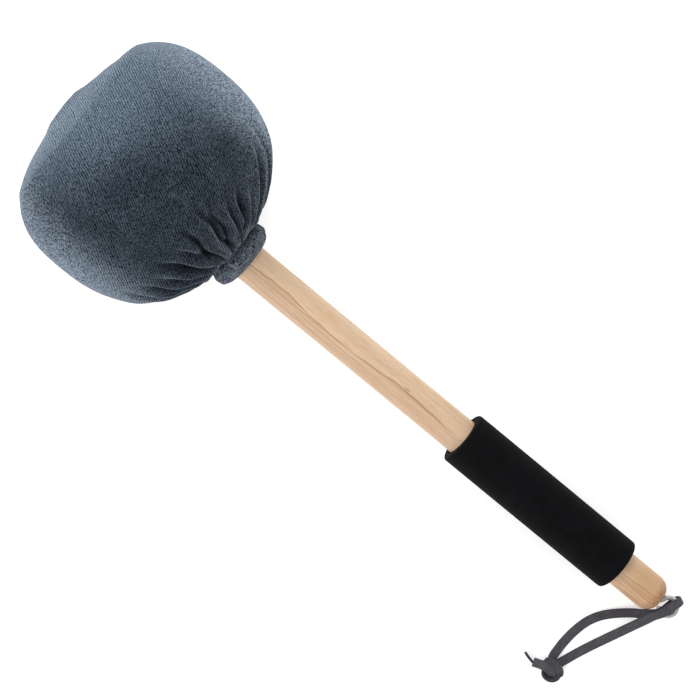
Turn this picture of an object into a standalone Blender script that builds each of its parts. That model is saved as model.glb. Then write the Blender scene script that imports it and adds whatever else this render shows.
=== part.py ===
"""Gong mallet: a wound, padded head in a gathered cloth cover, on a turned handle
with a foam grip, a screw eye and a flat leather wrist lace.

Units are metres and +Z is up. The mallet lies on a surface at z = 0, as it does
when it is put down: it rests on the side of its head and on the lower edge of
the grip. The origin is the middle of the flat where the head rests, and +X runs
along the mallet towards the butt of the handle.

Pieces of the mallet itself are made about their own axis. There x is the station
along the handle, 0 at the end of the cloth collar and positive towards the butt,
and an empty carries that axis to its tilted place.
"""

import math

import bmesh
import bpy
from mathutils import Matrix, Vector

MM = 0.001

# Clearance between pieces that touch, and what a faceted dome needs on top
GAP = 0.3 * MM
CHORD_ROOM = 0.45 * MM

# Handle
HANDLE_RADIUS = 12.7 * MM
HANDLE_VISIBLE = 185.4 * MM
BUTT_LENGTH = 38.1 * MM
BUTT_ROUND_LENGTH = 9.5 * MM
BUTT_FLAT_RADIUS = 5.4 * MM
HANDLE_CHAMFER = 1.2 * MM

# Foam grip
GRIP_WALL = 6.35 * MM
GRIP_LENGTH = 139.7 * MM
GRIP_EDGE_RADIUS = 1.8 * MM

# Head cover, two superellipse halves that meet at the widest station
HEAD_RADIUS = 83.5 * MM
HEAD_FRONT_DEPTH = 65.0 * MM
HEAD_REAR_DEPTH = 73.5 * MM
HEAD_FRONT_FULLNESS = 2.8
HEAD_REAR_FULLNESS = 2.5
COVER_THICKNESS = 2.5 * MM
REST_FLAT_DEPTH = 0.5 * MM

# Gathers at the neck of the cover, and how far the shoulder stands out over the groove
FOLDS = 20
FOLD_DEPTH = 1.9 * MM
FOLD_REACH = 62.0 * MM
COVER_STEPS = 80
SHOULDER_FLARE = 18.0 * MM
NECK_TUCK = 0.9 * MM

# Neck cloth under the groove, and the wall and flare of its lining
NECK_CLOTH = 3.5 * MM
NECK_WALL = 2.9 * MM
LINING_FLARE = 8.0 * MM
LINING_END = 12.5 * MM
GROOVE_FOLD_DEPTH = 0.3 * MM

# Rolled collar
COLLAR_LENGTH = 17.6 * MM
COLLAR_BEAD = 7.0 * MM
COLLAR_LUMPS = 11
COLLAR_LUMP_DEPTH = 0.5 * MM

# Neck tie, a waxed cord wound in the groove
TIE_DIAMETER = 1.6 * MM
TIE_TURNS = 2
TIE_SPACING = 0.4 * MM
TIE_ROOM = 0.8 * MM

# Core and its fixing
CORE_RADIUS = 30.0 * MM
CORE_STEP = 5.1 * MM
CORE_EDGE = 3.0 * MM
FIXING_ROOM = 1.1 * MM
HANDLE_END_RECESS = 1.0 * MM
WASHER_RADIUS = 19.0 * MM
WASHER_THICKNESS = 2.0 * MM
SCREW_RADIUS = 2.5 * MM
SCREW_LENGTH = 50.0 * MM
SCREW_POINT = 5.0 * MM
SCREW_HEAD_RADIUS = 5.2 * MM
SCREW_HEAD_HEIGHT = 3.2 * MM

# Felt strip wound on the core, with as many turns as the cover leaves room for
FELT_THICKNESS = 5.5 * MM
FELT_SPACING = 0.4 * MM
FELT_STEPS_PER_TURN = 32

# Soft fill between the felt and the cover
FRONT_PAD_DEPTH = 12.25 * MM
FRONT_PAD_EDGE = 9.0 * MM
REAR_PAD_DEPTH = 23.9 * MM
REAR_PAD_STEP = 2.4 * MM
PADDING_EDGE = 2.5 * MM

# Screw eye
EYE_WIRE_RADIUS = 1.65 * MM
EYE_RING_RADIUS = 6.45 * MM
EYE_SHANK = 24.0 * MM
EYE_POINT = 5.0 * MM
EYE_TIP_SHARE = 0.3
EYE_BEND_SHARE = 0.36
HOLE_END_ROOM = 2.5 * MM
EYE_RING_START = math.radians(-146)
EYE_RING_END = math.radians(138)

# Flat lace, its slack round the two wires and its rise over them
LACE_WIDTH = 6.35 * MM
LACE_THICKNESS = 1.8 * MM
LACE_AZIMUTH = math.radians(67.3)
BIGHT_SLACK = 1.25 * MM
NEAR_SLACK = 1.1 * MM
BIGHT_CREST = 0.3 * MM
CROWN_RISE = 0.95 * MM
STRAND_CLEARANCE = 0.36 * MM
FLOOR_EASE = 0.05 * MM

# Knot of the lace
KNOT_HALF_LENGTH = 6.6 * MM
KNOT_HALF_WIDTH = 5.2 * MM
KNOT_HALF_HEIGHT = 3.6 * MM
KNOT_RISE = 4.1 * MM
KNOT_TOP = 8.36 * MM
BAND_ROUND = 1.3 * MM
BAND_RADIUS = 4.3 * MM
TAIL_CLEARANCE = 0.16 * MM

# Facets of a turned piece, and sides of the blocks that cut pieces flat
TURN_STEPS = 48
HIDDEN_STEPS = 36
HEAD_CUTTER_SIDE = 120.0 * MM
KNOT_CUTTER_SIDE = 30.0 * MM


def clear_scene():
    for obj in list(bpy.data.objects):
        bpy.data.objects.remove(obj, do_unlink=True)
    for group in list(bpy.data.collections):
        bpy.data.collections.remove(group)


def new_collection(name):
    group = bpy.data.collections.new(name)
    bpy.context.scene.collection.children.link(group)
    return group


def finish_material(obj, color, roughness, metallic=0.0):
    material = bpy.data.materials.new(obj.name)
    material.use_nodes = True
    shader = material.node_tree.nodes["Principled BSDF"]
    shader.inputs["Base Color"].default_value = (*color, 1.0)
    shader.inputs["Roughness"].default_value = roughness
    shader.inputs["Metallic"].default_value = metallic
    material.diffuse_color = (*color, 1.0)
    obj.data.materials.append(material)


def new_object(name, mesh, group, parent=None):
    obj = bpy.data.objects.new(name, mesh)
    group.objects.link(obj)
    obj.parent = parent
    return obj


def mesh_from(bm, name):
    mesh = bpy.data.meshes.new(name)
    bm.to_mesh(mesh)
    bm.free()
    return mesh


def shade_round(obj, angle=40):
    obj.data.shade_smooth()
    obj.data.set_sharp_from_angle(angle=math.radians(angle))


# Shape helpers


def arc(center, radius_x, radius_r, start, end, steps):
    """Points on an elliptical arc, from angle start to angle end in degrees."""
    points = []
    for step in range(steps + 1):
        angle = math.radians(start + (end - start) * step / steps)
        points.append(
            (center[0] + radius_x * math.cos(angle), center[1] + radius_r * math.sin(angle))
        )
    return points


def counterclockwise(outline):
    area = 0.0
    for (x0, r0), (x1, r1) in zip(outline, outline[1:] + outline[:1]):
        area += x0 * r1 - x1 * r0
    return outline if area > 0 else outline[::-1]


def profile_mesh(name, outline):
    """A wire of the outline, closed unless it starts and ends on the axis."""
    outline = counterclockwise(outline)
    on_axis = outline[0][1] == 0 and outline[-1][1] == 0
    bm = bmesh.new()
    verts = [bm.verts.new((x, r, 0.0)) for x, r in outline]
    for first, second in zip(verts, verts[1:]):
        bm.edges.new((first, second))
    if not on_axis:
        bm.edges.new((verts[-1], verts[0]))
    return mesh_from(bm, name)


def turned(name, outline, group, parent, steps=TURN_STEPS):
    """A piece turned about the handle's axis from (station, radius) points."""
    obj = new_object(name, profile_mesh(name, outline), group, parent)
    screw = obj.modifiers.new("turn", "SCREW")
    screw.axis = "X"
    screw.steps = steps
    screw.render_steps = steps
    screw.use_merge_vertices = True
    screw.merge_threshold = 0.00001
    screw.use_smooth_shade = True
    return obj


def half_superellipse(radius, depth, fullness, steps, low=0.0, high=90.0):
    """(distance from the widest station, radius) points, low to high in degrees."""
    points = []
    for step in range(steps + 1):
        angle = math.radians(low + (high - low) * step / steps)
        along = depth * math.sin(angle) ** (2 / fullness)
        out = radius * max(math.cos(angle), 0.0) ** (2 / fullness)
        points.append((along, 0.0 if out < 1e-7 else out))
    return points


def angle_at_radius(radius, head_radius, fullness):
    return math.degrees(math.acos((radius / head_radius) ** (fullness / 2)))


def front_outline(inset, outer_radius, inner_radius, steps):
    """The front half of the head, inset, from outer_radius in to inner_radius."""
    radius = HEAD_RADIUS - inset
    low = angle_at_radius(outer_radius, radius, HEAD_FRONT_FULLNESS)
    high = angle_at_radius(inner_radius, radius, HEAD_FRONT_FULLNESS)
    points = half_superellipse(
        radius, HEAD_FRONT_DEPTH - inset, HEAD_FRONT_FULLNESS, steps, low, high
    )
    return [(HEAD_WIDEST - along, out) for along, out in points]


def rear_outline(inset, outer_radius, inner_radius, steps):
    """The rear half of the head, inset, from outer_radius in to inner_radius."""
    radius = HEAD_RADIUS - inset
    low = angle_at_radius(outer_radius, radius, HEAD_REAR_FULLNESS)
    high = angle_at_radius(inner_radius, radius, HEAD_REAR_FULLNESS)
    points = half_superellipse(
        radius, HEAD_REAR_DEPTH - inset, HEAD_REAR_FULLNESS, steps, low, high
    )
    return [(HEAD_WIDEST + along, out) for along, out in points]


def radius_at(station, inset):
    """Radius of the inset head at a station."""
    rear = station > HEAD_WIDEST
    depth = (HEAD_REAR_DEPTH if rear else HEAD_FRONT_DEPTH) - inset
    fullness = HEAD_REAR_FULLNESS if rear else HEAD_FRONT_FULLNESS
    share = abs(station - HEAD_WIDEST) / depth
    return (HEAD_RADIUS - inset) * (1 - share**fullness) ** (1 / fullness)


def lining_station(radius, side):
    """Station where the lining has that radius: side -1 in the front half, 1 in the rear half."""
    depth = (HEAD_REAR_DEPTH if side > 0 else HEAD_FRONT_DEPTH) - LINING_INSET
    fullness = HEAD_REAR_FULLNESS if side > 0 else HEAD_FRONT_FULLNESS
    share = radius / (HEAD_RADIUS - LINING_INSET)
    return HEAD_WIDEST + side * depth * (1 - share**fullness) ** (1 / fullness)


# Places along the handle, from the butt to the striking face

GRIP_START = HANDLE_VISIBLE
GRIP_END = GRIP_START + GRIP_LENGTH
BUTT_END = GRIP_END + BUTT_LENGTH
EYE_CENTER = BUTT_END + EYE_RING_RADIUS + EYE_WIRE_RADIUS + GAP
TIE_PITCH = TIE_DIAMETER + TIE_SPACING
GROOVE_END = -COLLAR_LENGTH
GROOVE_START = GROOVE_END - TIE_TURNS * TIE_PITCH - TIE_DIAMETER - TIE_ROOM
HEAD_WIDEST = GROOVE_END - NECK_TUCK - HEAD_REAR_DEPTH
LINING_INSET = COVER_THICKNESS + GAP + CHORD_ROOM
FELT_FRONT = HEAD_WIDEST - HEAD_FRONT_DEPTH + LINING_INSET + FRONT_PAD_DEPTH
FELT_REAR = GROOVE_START - REAR_PAD_DEPTH
CORE_FRONT = FELT_FRONT + WASHER_THICKNESS + SCREW_HEAD_HEIGHT + FIXING_ROOM
CORE_REAR = FELT_REAR - CORE_STEP
HANDLE_END = CORE_FRONT + HANDLE_END_RECESS

# Radii, from the handle outwards

BORE_ON_HANDLE = HANDLE_RADIUS + GAP
GRIP_RADIUS = HANDLE_RADIUS + GRIP_WALL
GROOVE_RADIUS = BORE_ON_HANDLE + NECK_CLOTH
COLLAR_RADIUS = GROOVE_RADIUS + COLLAR_BEAD
SHOULDER_RADIUS = GROOVE_RADIUS + SHOULDER_FLARE
LINING_END_RADIUS = GROOVE_RADIUS + LINING_END
FELT_PITCH = FELT_THICKNESS + FELT_SPACING
FELT_ROOM = radius_at(FELT_FRONT, LINING_INSET) - CORE_RADIUS - 2 * GAP - FELT_THICKNESS
FELT_TURNS = int(FELT_ROOM / FELT_PITCH)
FELT_RADIUS = CORE_RADIUS + GAP + FELT_PITCH * FELT_TURNS + FELT_THICKNESS
FRONT_PAD_RADIUS = radius_at(FELT_FRONT, LINING_INSET) - FRONT_PAD_EDGE
REAR_PAD_RADIUS = FELT_RADIUS - REAR_PAD_STEP
PADDING_BORE = FELT_RADIUS + GAP
PADDING_FRONT = lining_station(PADDING_BORE + PADDING_EDGE, -1)
PADDING_REAR = lining_station(PADDING_BORE + PADDING_EDGE, 1)

# Radii of the lace round the wires

BIGHT_RADIUS = EYE_WIRE_RADIUS + LACE_THICKNESS / 2 + BIGHT_SLACK
NEAR_WIRE_RADIUS = EYE_WIRE_RADIUS + LACE_THICKNESS / 2 + NEAR_SLACK
LYING_HEIGHT = LACE_THICKNESS / 2 + FLOOR_EASE


def resting_tilt():
    """(tilt, contact station, contact radius) with head and grip both on the floor."""
    tilt = math.radians(9)
    station = HEAD_WIDEST
    for _ in range(40):
        steps = 400
        best = None
        for step in range(steps):
            trial = HEAD_WIDEST + 0.5 * HEAD_REAR_DEPTH * step / steps
            reach = trial * math.sin(tilt) + radius_at(trial, 0.0) * math.cos(tilt)
            if best is None or reach > best:
                best = reach
                station = trial
        radius = radius_at(station, 0.0)
        edge_station = GRIP_END - GRIP_EDGE_RADIUS
        edge_radius = GRIP_RADIUS - GRIP_EDGE_RADIUS
        missing = best - REST_FLAT_DEPTH - GRIP_EDGE_RADIUS
        missing -= edge_station * math.sin(tilt) + edge_radius * math.cos(tilt)
        tilt += missing / (edge_station - station)
    return tilt, station, radius


TILT, REST_STATION, REST_RADIUS = resting_tilt()


def axis_matrix():
    """From the handle's own axis to the resting place on the floor."""
    along = Vector((math.cos(TILT), 0.0, -math.sin(TILT)))
    down = Vector((-math.sin(TILT), 0.0, -math.cos(TILT)))
    lowest = Vector((0.0, 0.0, -REST_FLAT_DEPTH))
    zero = lowest - down * REST_RADIUS - along * REST_STATION
    return Matrix.Translation(zero) @ Matrix.Rotation(TILT, 4, "Y")


AXIS = axis_matrix()


def floor_cutter(group, name, center, size):
    """A box whose top face is the floor."""
    bm = bmesh.new()
    bmesh.ops.create_cube(bm, size=1.0)
    bmesh.ops.scale(bm, vec=(size, size, size), verts=bm.verts)
    box = new_object(name, mesh_from(bm, name), group)
    box.location = (center[0], center[1], -size / 2)
    box.hide_render = True
    box.display_type = "WIRE"
    return box


def cut_flat(obj, cutter):
    boolean = obj.modifiers.new("floor", "BOOLEAN")
    boolean.operation = "DIFFERENCE"
    boolean.object = cutter


# Handle, grip and eye


def make_handle(group, parent):
    hole = EYE_WIRE_RADIUS + GAP
    hole_end = BUTT_END - EYE_SHANK - HOLE_END_ROOM
    screw_hole = SCREW_RADIUS + GAP
    screw_hole_end = HANDLE_END + SCREW_LENGTH + 2 * GAP
    outline = [(HANDLE_END + HANDLE_CHAMFER, HANDLE_RADIUS)]
    outline += [(HANDLE_END, HANDLE_RADIUS - HANDLE_CHAMFER)]
    outline += [(HANDLE_END, screw_hole), (screw_hole_end - SCREW_POINT, screw_hole)]
    outline += [(screw_hole_end, 0.0)]
    butt = arc(
        (BUTT_END - BUTT_ROUND_LENGTH, BUTT_FLAT_RADIUS),
        BUTT_ROUND_LENGTH,
        HANDLE_RADIUS - BUTT_FLAT_RADIUS,
        90,
        0,
        8,
    )
    outline = outline[::-1] + butt
    outline += [(BUTT_END, hole), (hole_end + EYE_POINT, hole), (hole_end, 0.0)]
    handle = turned("handle", outline, group, parent)
    finish_material(handle, (0.72, 0.50, 0.31), 0.42)


def make_grip(group, parent):
    edge = GRIP_EDGE_RADIUS
    far = arc((GRIP_END - edge, GRIP_RADIUS - edge), edge, edge, 0, 90, 4)
    near = arc((GRIP_START + edge, GRIP_RADIUS - edge), edge, edge, 90, 180, 4)
    outline = [(GRIP_END, BORE_ON_HANDLE)] + far + near + [(GRIP_START, BORE_ON_HANDLE)]
    grip = turned("grip_sleeve", outline, group, parent)
    finish_material(grip, (0.012, 0.012, 0.016), 0.9)


def bezier(start, handle_a, handle_b, end, steps):
    points = []
    for step in range(1, steps + 1):
        t = step / steps
        points.append(
            start * (1 - t) ** 3
            + handle_a * 3 * t * (1 - t) ** 2
            + handle_b * 3 * t**2 * (1 - t)
            + end * t**3
        )
    return points


def eye_path():
    """Centre line of the eye's wire: round the ring, then down into the butt."""
    points = []
    steps = 26
    for step in range(steps + 1):
        angle = EYE_RING_START + (EYE_RING_END - EYE_RING_START) * step / steps
        points.append(Vector((math.cos(angle), math.sin(angle), 0.0)) * EYE_RING_RADIUS)
    leave = Vector((-math.sin(EYE_RING_END), math.cos(EYE_RING_END), 0.0))
    pull = EYE_BEND_SHARE * EYE_RING_RADIUS
    neck = Vector((BUTT_END - EYE_CENTER, 0.0, 0.0))
    along = Vector((-1.0, 0.0, 0.0))
    points += bezier(points[-1], points[-1] + leave * pull, neck - along * pull, neck, 5)
    shank_end = BUTT_END - EYE_SHANK - EYE_CENTER
    points.append(Vector((shank_end + EYE_POINT, 0.0, 0.0)))
    points.append(Vector((shank_end, 0.0, 0.0)))
    return [point + Vector((EYE_CENTER, 0.0, 0.0)) for point in points]


def wire_curve(name, points, radius, resolution=2, radii=None):
    curve = bpy.data.curves.new(name, "CURVE")
    curve.dimensions = "3D"
    curve.bevel_depth = radius
    curve.bevel_resolution = resolution
    curve.use_fill_caps = True
    spline = curve.splines.new("POLY")
    spline.points.add(len(points) - 1)
    for index, point in enumerate(points):
        spline.points[index].co = (*point, 1.0)
        spline.points[index].radius = 1.0 if radii is None else radii[index]
    return curve


def make_eye(group, parent):
    points = eye_path()
    radii = [1.0] * (len(points) - 1) + [EYE_TIP_SHARE]
    curve = wire_curve("screw_eye", points, EYE_WIRE_RADIUS, 3, radii)
    eye = new_object("screw_eye", curve, group, parent)
    finish_material(eye, (0.62, 0.61, 0.58), 0.35, 1.0)


# Head, from the core outwards


def make_core(group, parent):
    rear = arc((CORE_REAR - CORE_EDGE, CORE_RADIUS - CORE_EDGE), CORE_EDGE, CORE_EDGE, 0, 90, 3)
    front = arc(
        (CORE_FRONT + CORE_EDGE, CORE_RADIUS - CORE_EDGE), CORE_EDGE, CORE_EDGE, 90, 180, 3
    )
    outline = [(CORE_REAR, BORE_ON_HANDLE)] + rear + front + [(CORE_FRONT, BORE_ON_HANDLE)]
    core = turned("head_core", outline, group, parent, HIDDEN_STEPS)
    finish_material(core, (0.55, 0.36, 0.20), 0.6)


def make_core_washer(group, parent):
    back = CORE_FRONT - GAP
    front = back - WASHER_THICKNESS
    hole = SCREW_RADIUS + GAP
    outline = [(back, hole), (back, WASHER_RADIUS), (front, WASHER_RADIUS), (front, hole)]
    washer = turned("core_washer", outline, group, parent, HIDDEN_STEPS)
    finish_material(washer, (0.60, 0.60, 0.58), 0.35, 1.0)


def make_core_screw(group, parent):
    seat = CORE_FRONT - WASHER_THICKNESS - 2 * GAP
    tip = HANDLE_END + SCREW_LENGTH
    crown = arc((seat, 0.0), -SCREW_HEAD_HEIGHT, SCREW_HEAD_RADIUS, 90, 0, 5)
    crown[-1] = (crown[-1][0], 0.0)
    outline = [(tip, 0.0), (tip - SCREW_POINT, SCREW_RADIUS), (seat, SCREW_RADIUS)] + crown
    screw = turned("core_screw", outline, group, parent, HIDDEN_STEPS)
    finish_material(screw, (0.50, 0.50, 0.50), 0.35, 1.0)


def make_felt_wrap(group, parent):
    """One strip of felt, wound in a spiral on the core."""
    steps = FELT_TURNS * FELT_STEPS_PER_TURN
    inner = []
    outer = []
    for step in range(steps + 1):
        turn = step / FELT_STEPS_PER_TURN
        angle = 2 * math.pi * turn
        radius = CORE_RADIUS + GAP + FELT_PITCH * turn
        direction = Vector((math.cos(angle), math.sin(angle), 0.0))
        inner.append(direction * radius)
        outer.append(direction * (radius + FELT_THICKNESS))
    curve = bpy.data.curves.new("felt_wrap", "CURVE")
    curve.dimensions = "2D"
    curve.fill_mode = "BOTH"
    curve.extrude = (FELT_REAR - FELT_FRONT) / 2
    spline = curve.splines.new("POLY")
    outline = outer + inner[::-1]
    spline.points.add(len(outline) - 1)
    for index, point in enumerate(outline):
        spline.points[index].co = (*point, 1.0)
    spline.use_cyclic_u = True
    felt = new_object("felt_wrap", curve, group, parent)
    felt.rotation_euler = (0.0, math.pi / 2, 0.0)
    felt.location = ((FELT_FRONT + FELT_REAR) / 2, 0.0, 0.0)
    finish_material(felt, (0.75, 0.73, 0.66), 0.95)


def make_front_pad(group, parent):
    back = FELT_FRONT - GAP
    dome = front_outline(LINING_INSET, FRONT_PAD_RADIUS, 0.0, 8)
    outline = [(back, 0.0), (back, FRONT_PAD_RADIUS)] + dome
    pad = turned("front_pad", outline, group, parent, HIDDEN_STEPS)
    finish_material(pad, (0.80, 0.78, 0.72), 0.95)


def make_rear_pad(group, parent):
    back = FELT_REAR + GAP
    dome = rear_outline(LINING_INSET, REAR_PAD_RADIUS, LINING_END_RADIUS, 7)
    tip = [(x - GAP, r) for x, r in NECK_LINING]
    outline = [(back, BORE_ON_HANDLE), (back, REAR_PAD_RADIUS)] + dome + tip
    pad = turned("rear_pad", outline, group, parent, HIDDEN_STEPS)
    finish_material(pad, (0.80, 0.78, 0.72), 0.95)


def make_padding(group, parent):
    radius = HEAD_RADIUS - LINING_INSET
    edge = PADDING_BORE + PADDING_EDGE
    front = front_outline(LINING_INSET, radius, edge, 7)[::-1]
    rear = rear_outline(LINING_INSET, radius, edge, 8)[1:]
    outline = [(PADDING_FRONT, PADDING_BORE)] + front + rear + [(PADDING_REAR, PADDING_BORE)]
    padding = turned("padding", outline, group, parent, HIDDEN_STEPS)
    finish_material(padding, (0.85, 0.85, 0.83), 0.95)


# Cover

# Where the lining turns in to the handle, from the dome inwards
NECK_LINING = [
    (GROOVE_START - 0.28 * NECK_WALL, GROOVE_RADIUS + LINING_FLARE),
    (GROOVE_START - 0.93 * NECK_WALL, GROOVE_RADIUS + 0.25 * LINING_FLARE),
    (GROOVE_START - NECK_WALL, BORE_ON_HANDLE),
]


def cover_outline():
    """(station, radius, fold depth, lump depth) from the front of the head round to its lining."""
    rows = [(x, r, 0.0, 0.0) for x, r in front_outline(0.0, HEAD_RADIUS, 0.0, 9)[::-1]]
    for x, r in rear_outline(0.0, HEAD_RADIUS, SHOULDER_RADIUS, 10)[1:]:
        start = GROOVE_END - FOLD_REACH
        share = min(max((x - start) / (GROOVE_START - start), 0.0), 1.0)
        rows.append((x, r, FOLD_DEPTH * share**1.5, 0.0))
    shoulder = rows[-1][0]
    rows += [
        (shoulder + 1.4 * MM, GROOVE_RADIUS + 0.64 * SHOULDER_FLARE, FOLD_DEPTH, 0.0),
        (shoulder + 0.4 * MM, GROOVE_RADIUS + 0.33 * SHOULDER_FLARE, 0.7 * FOLD_DEPTH, 0.0),
        (GROOVE_START - 0.1 * MM, GROOVE_RADIUS + 2.9 * MM, 0.0, 0.0),
        (GROOVE_START, GROOVE_RADIUS, GROOVE_FOLD_DEPTH, 0.0),
        (GROOVE_END, GROOVE_RADIUS, GROOVE_FOLD_DEPTH, 0.0),
    ]
    lump = COLLAR_LUMP_DEPTH
    rows += [
        (-0.97 * COLLAR_LENGTH, GROOVE_RADIUS + 0.55 * COLLAR_BEAD, 0.0, 0.5 * lump),
        (-0.86 * COLLAR_LENGTH, GROOVE_RADIUS + 0.92 * COLLAR_BEAD, 0.0, lump),
        (-0.5 * COLLAR_LENGTH, COLLAR_RADIUS, 0.0, lump),
        (-0.17 * COLLAR_LENGTH, GROOVE_RADIUS + 0.8 * COLLAR_BEAD, 0.0, lump),
        (-0.04 * COLLAR_LENGTH, GROOVE_RADIUS + 0.4 * COLLAR_BEAD, 0.0, 0.5 * lump),
        (0.0, 0.5 * (GROOVE_RADIUS + BORE_ON_HANDLE), 0.0, 0.0),
        (-0.05 * COLLAR_LENGTH, BORE_ON_HANDLE, 0.0, 0.0),
    ]
    rows += [(x, r, 0.0, 0.0) for x, r in NECK_LINING[::-1]]
    lining_radius = HEAD_RADIUS - COVER_THICKNESS
    lining = rear_outline(COVER_THICKNESS, lining_radius, LINING_END_RADIUS, 8)[::-1]
    lining += front_outline(COVER_THICKNESS, lining_radius, 0.0, 9)[1:]
    return rows + [(x, r, 0.0, 0.0) for x, r in lining]


def fold_wave(angle):
    """Uneven gathers round the neck, between -0.5 and 1."""
    phase = FOLDS * angle + 0.9 * math.sin(3 * angle + 0.7) + 0.6 * math.sin(5 * angle + 2.1)
    strength = 0.8 + 0.2 * math.sin(7 * angle + 1.3)
    return strength * (0.25 + 0.75 * math.cos(phase))


def lump_wave(angle):
    return math.cos(COLLAR_LUMPS * angle + 0.8 * math.sin(2 * angle))


def make_cover(group, cutters, parent):
    """The gathered cloth bag with its neck and rolled collar, one closed shell."""
    rows = cover_outline()
    bm = bmesh.new()
    fold_layer = bm.verts.layers.float_vector.new("fold")
    lump_layer = bm.verts.layers.float_vector.new("lump")
    verts = []
    for index, (x, r, fold, lump) in enumerate(rows):
        before = rows[max(index - 1, 0)]
        after = rows[min(index + 1, len(rows) - 1)]
        normal = Vector((before[1] - after[1], after[0] - before[0], 0.0)).normalized()
        vert = bm.verts.new((x, r, 0.0))
        vert[fold_layer] = normal * fold
        vert[lump_layer] = normal * lump
        verts.append(vert)
    for first, second in zip(verts, verts[1:]):
        bm.edges.new((first, second))
    bmesh.ops.spin(
        bm,
        geom=bm.verts[:] + bm.edges[:],
        cent=(0, 0, 0),
        axis=(1, 0, 0),
        dvec=(0, 0, 0),
        angle=2 * math.pi,
        steps=COVER_STEPS,
        use_merge=True,
        use_duplicate=False,
    )
    bmesh.ops.remove_doubles(bm, verts=bm.verts, dist=0.000005)
    for vert in bm.verts:
        angle = math.atan2(vert.co.z, vert.co.y)
        push = vert[fold_layer] * fold_wave(angle) + vert[lump_layer] * lump_wave(angle)
        vert.co.x += push.x
        vert.co.y += push.y * math.cos(angle)
        vert.co.z += push.y * math.sin(angle)
    bmesh.ops.recalc_face_normals(bm, faces=bm.faces)
    cover = new_object("cover", mesh_from(bm, "cover"), group, parent)
    shade_round(cover)
    cut_flat(cover, floor_cutter(cutters, "head_floor_cutter", (0.0, 0.0), HEAD_CUTTER_SIDE))
    finish_material(cover, (0.085, 0.125, 0.165), 0.95)


def make_neck_tie(group, parent):
    """Two turns of waxed cord in the groove, which close the cover's neck."""
    radius = GROOVE_RADIUS + GROOVE_FOLD_DEPTH + GAP + TIE_DIAMETER / 2
    middle = (GROOVE_START + GROOVE_END) / 2
    steps = 24 * TIE_TURNS
    points = []
    for step in range(steps + 1):
        turn = TIE_TURNS * step / steps
        x = middle + TIE_PITCH * (turn - TIE_TURNS / 2)
        angle = 2 * math.pi * turn
        points.append((x, radius * math.cos(angle), radius * math.sin(angle)))
    curve = wire_curve("neck_tie", points, TIE_DIAMETER / 2, 1)
    tie = new_object("neck_tie", curve, group, parent)
    finish_material(tie, (0.03, 0.03, 0.035), 0.6)


# Lace


def lace_frame():
    """Origin on the far wire of the eye, then the outward, upward and tangent directions."""
    turn = AXIS.to_3x3()
    center = AXIS @ Vector((EYE_CENTER, 0.0, 0.0))
    outward = turn @ Vector((math.cos(LACE_AZIMUTH), math.sin(LACE_AZIMUTH), 0.0))
    upward = turn @ Vector((0.0, 0.0, 1.0))
    tangent = turn @ Vector((-math.sin(LACE_AZIMUTH), math.cos(LACE_AZIMUTH), 0.0))
    return center + outward * EYE_RING_RADIUS, outward, upward, tangent


EYE_WIRE, LACE_OUT, LACE_UP, LACE_TANGENT = lace_frame()
EYE_MIDDLE = EYE_WIRE - LACE_OUT * EYE_RING_RADIUS


def at_wire(out, up):
    return EYE_WIRE + LACE_OUT * out + LACE_UP * up


def crossing():
    """Slope and ends of the straight run through the eye, between the two wires."""
    span = 2 * EYE_RING_RADIUS
    slope = math.asin((BIGHT_RADIUS + NEAR_WIRE_RADIUS) / span)
    start = (-BIGHT_RADIUS * math.sin(slope), -BIGHT_RADIUS * math.cos(slope))
    end = (-span + NEAR_WIRE_RADIUS * math.sin(slope), NEAR_WIRE_RADIUS * math.cos(slope))
    return slope, start, end


def smooth_route(points, spacing):
    """Points on a Catmull-Rom curve through the given points."""
    points = [Vector(point) for point in points]
    padded = [2 * points[0] - points[1]] + points + [2 * points[-1] - points[-2]]
    route = [points[0]]
    for index in range(1, len(points)):
        p0, p1, p2, p3 = padded[index - 1 : index + 3]
        count = max(1, round((p2 - p1).length / spacing))
        for step in range(1, count + 1):
            t = step / count
            route.append(
                0.5
                * (
                    2 * p1
                    + (p2 - p0) * t
                    + (2 * p0 - 5 * p1 + 4 * p2 - p3) * t**2
                    + (3 * p1 - p0 - 3 * p2 + p3) * t**3
                )
            )
    return route


def strip(name, route, widths, group, color=(0.10, 0.095, 0.105)):
    """A flat strip along a route, with the direction of its width at each point."""
    bm = bmesh.new()
    sides = []
    for side in (-0.5, 0.5):
        verts = [bm.verts.new(p + w * side * LACE_WIDTH) for p, w in zip(route, widths)]
        sides.append([bm.edges.new(pair) for pair in zip(verts, verts[1:])])
    bmesh.ops.bridge_loops(bm, edges=sides[0] + sides[1])
    bmesh.ops.recalc_face_normals(bm, faces=bm.faces)
    obj = new_object(name, mesh_from(bm, name), group)
    solidify = obj.modifiers.new("thickness", "SOLIDIFY")
    solidify.thickness = LACE_THICKNESS
    solidify.offset = 0.0
    solidify.use_even_offset = True
    finish_material(obj, color, 0.9)
    return obj


def level_widths(route, first=None, blend_points=6):
    """Level directions square to the route, eased in from a given first direction."""
    widths = []
    for index in range(len(route)):
        before = route[max(index - 1, 0)]
        after = route[min(index + 1, len(route) - 1)]
        ahead = after - before
        width = Vector((ahead.y, -ahead.x, 0.0)).normalized()
        if first is not None:
            share = min(index / blend_points, 1.0)
            if first.dot(width) > 0:
                width = first.lerp(width, share)
            else:
                width = -first.lerp(-width, share)
            width.normalize()
        widths.append(width)
    return widths


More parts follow.
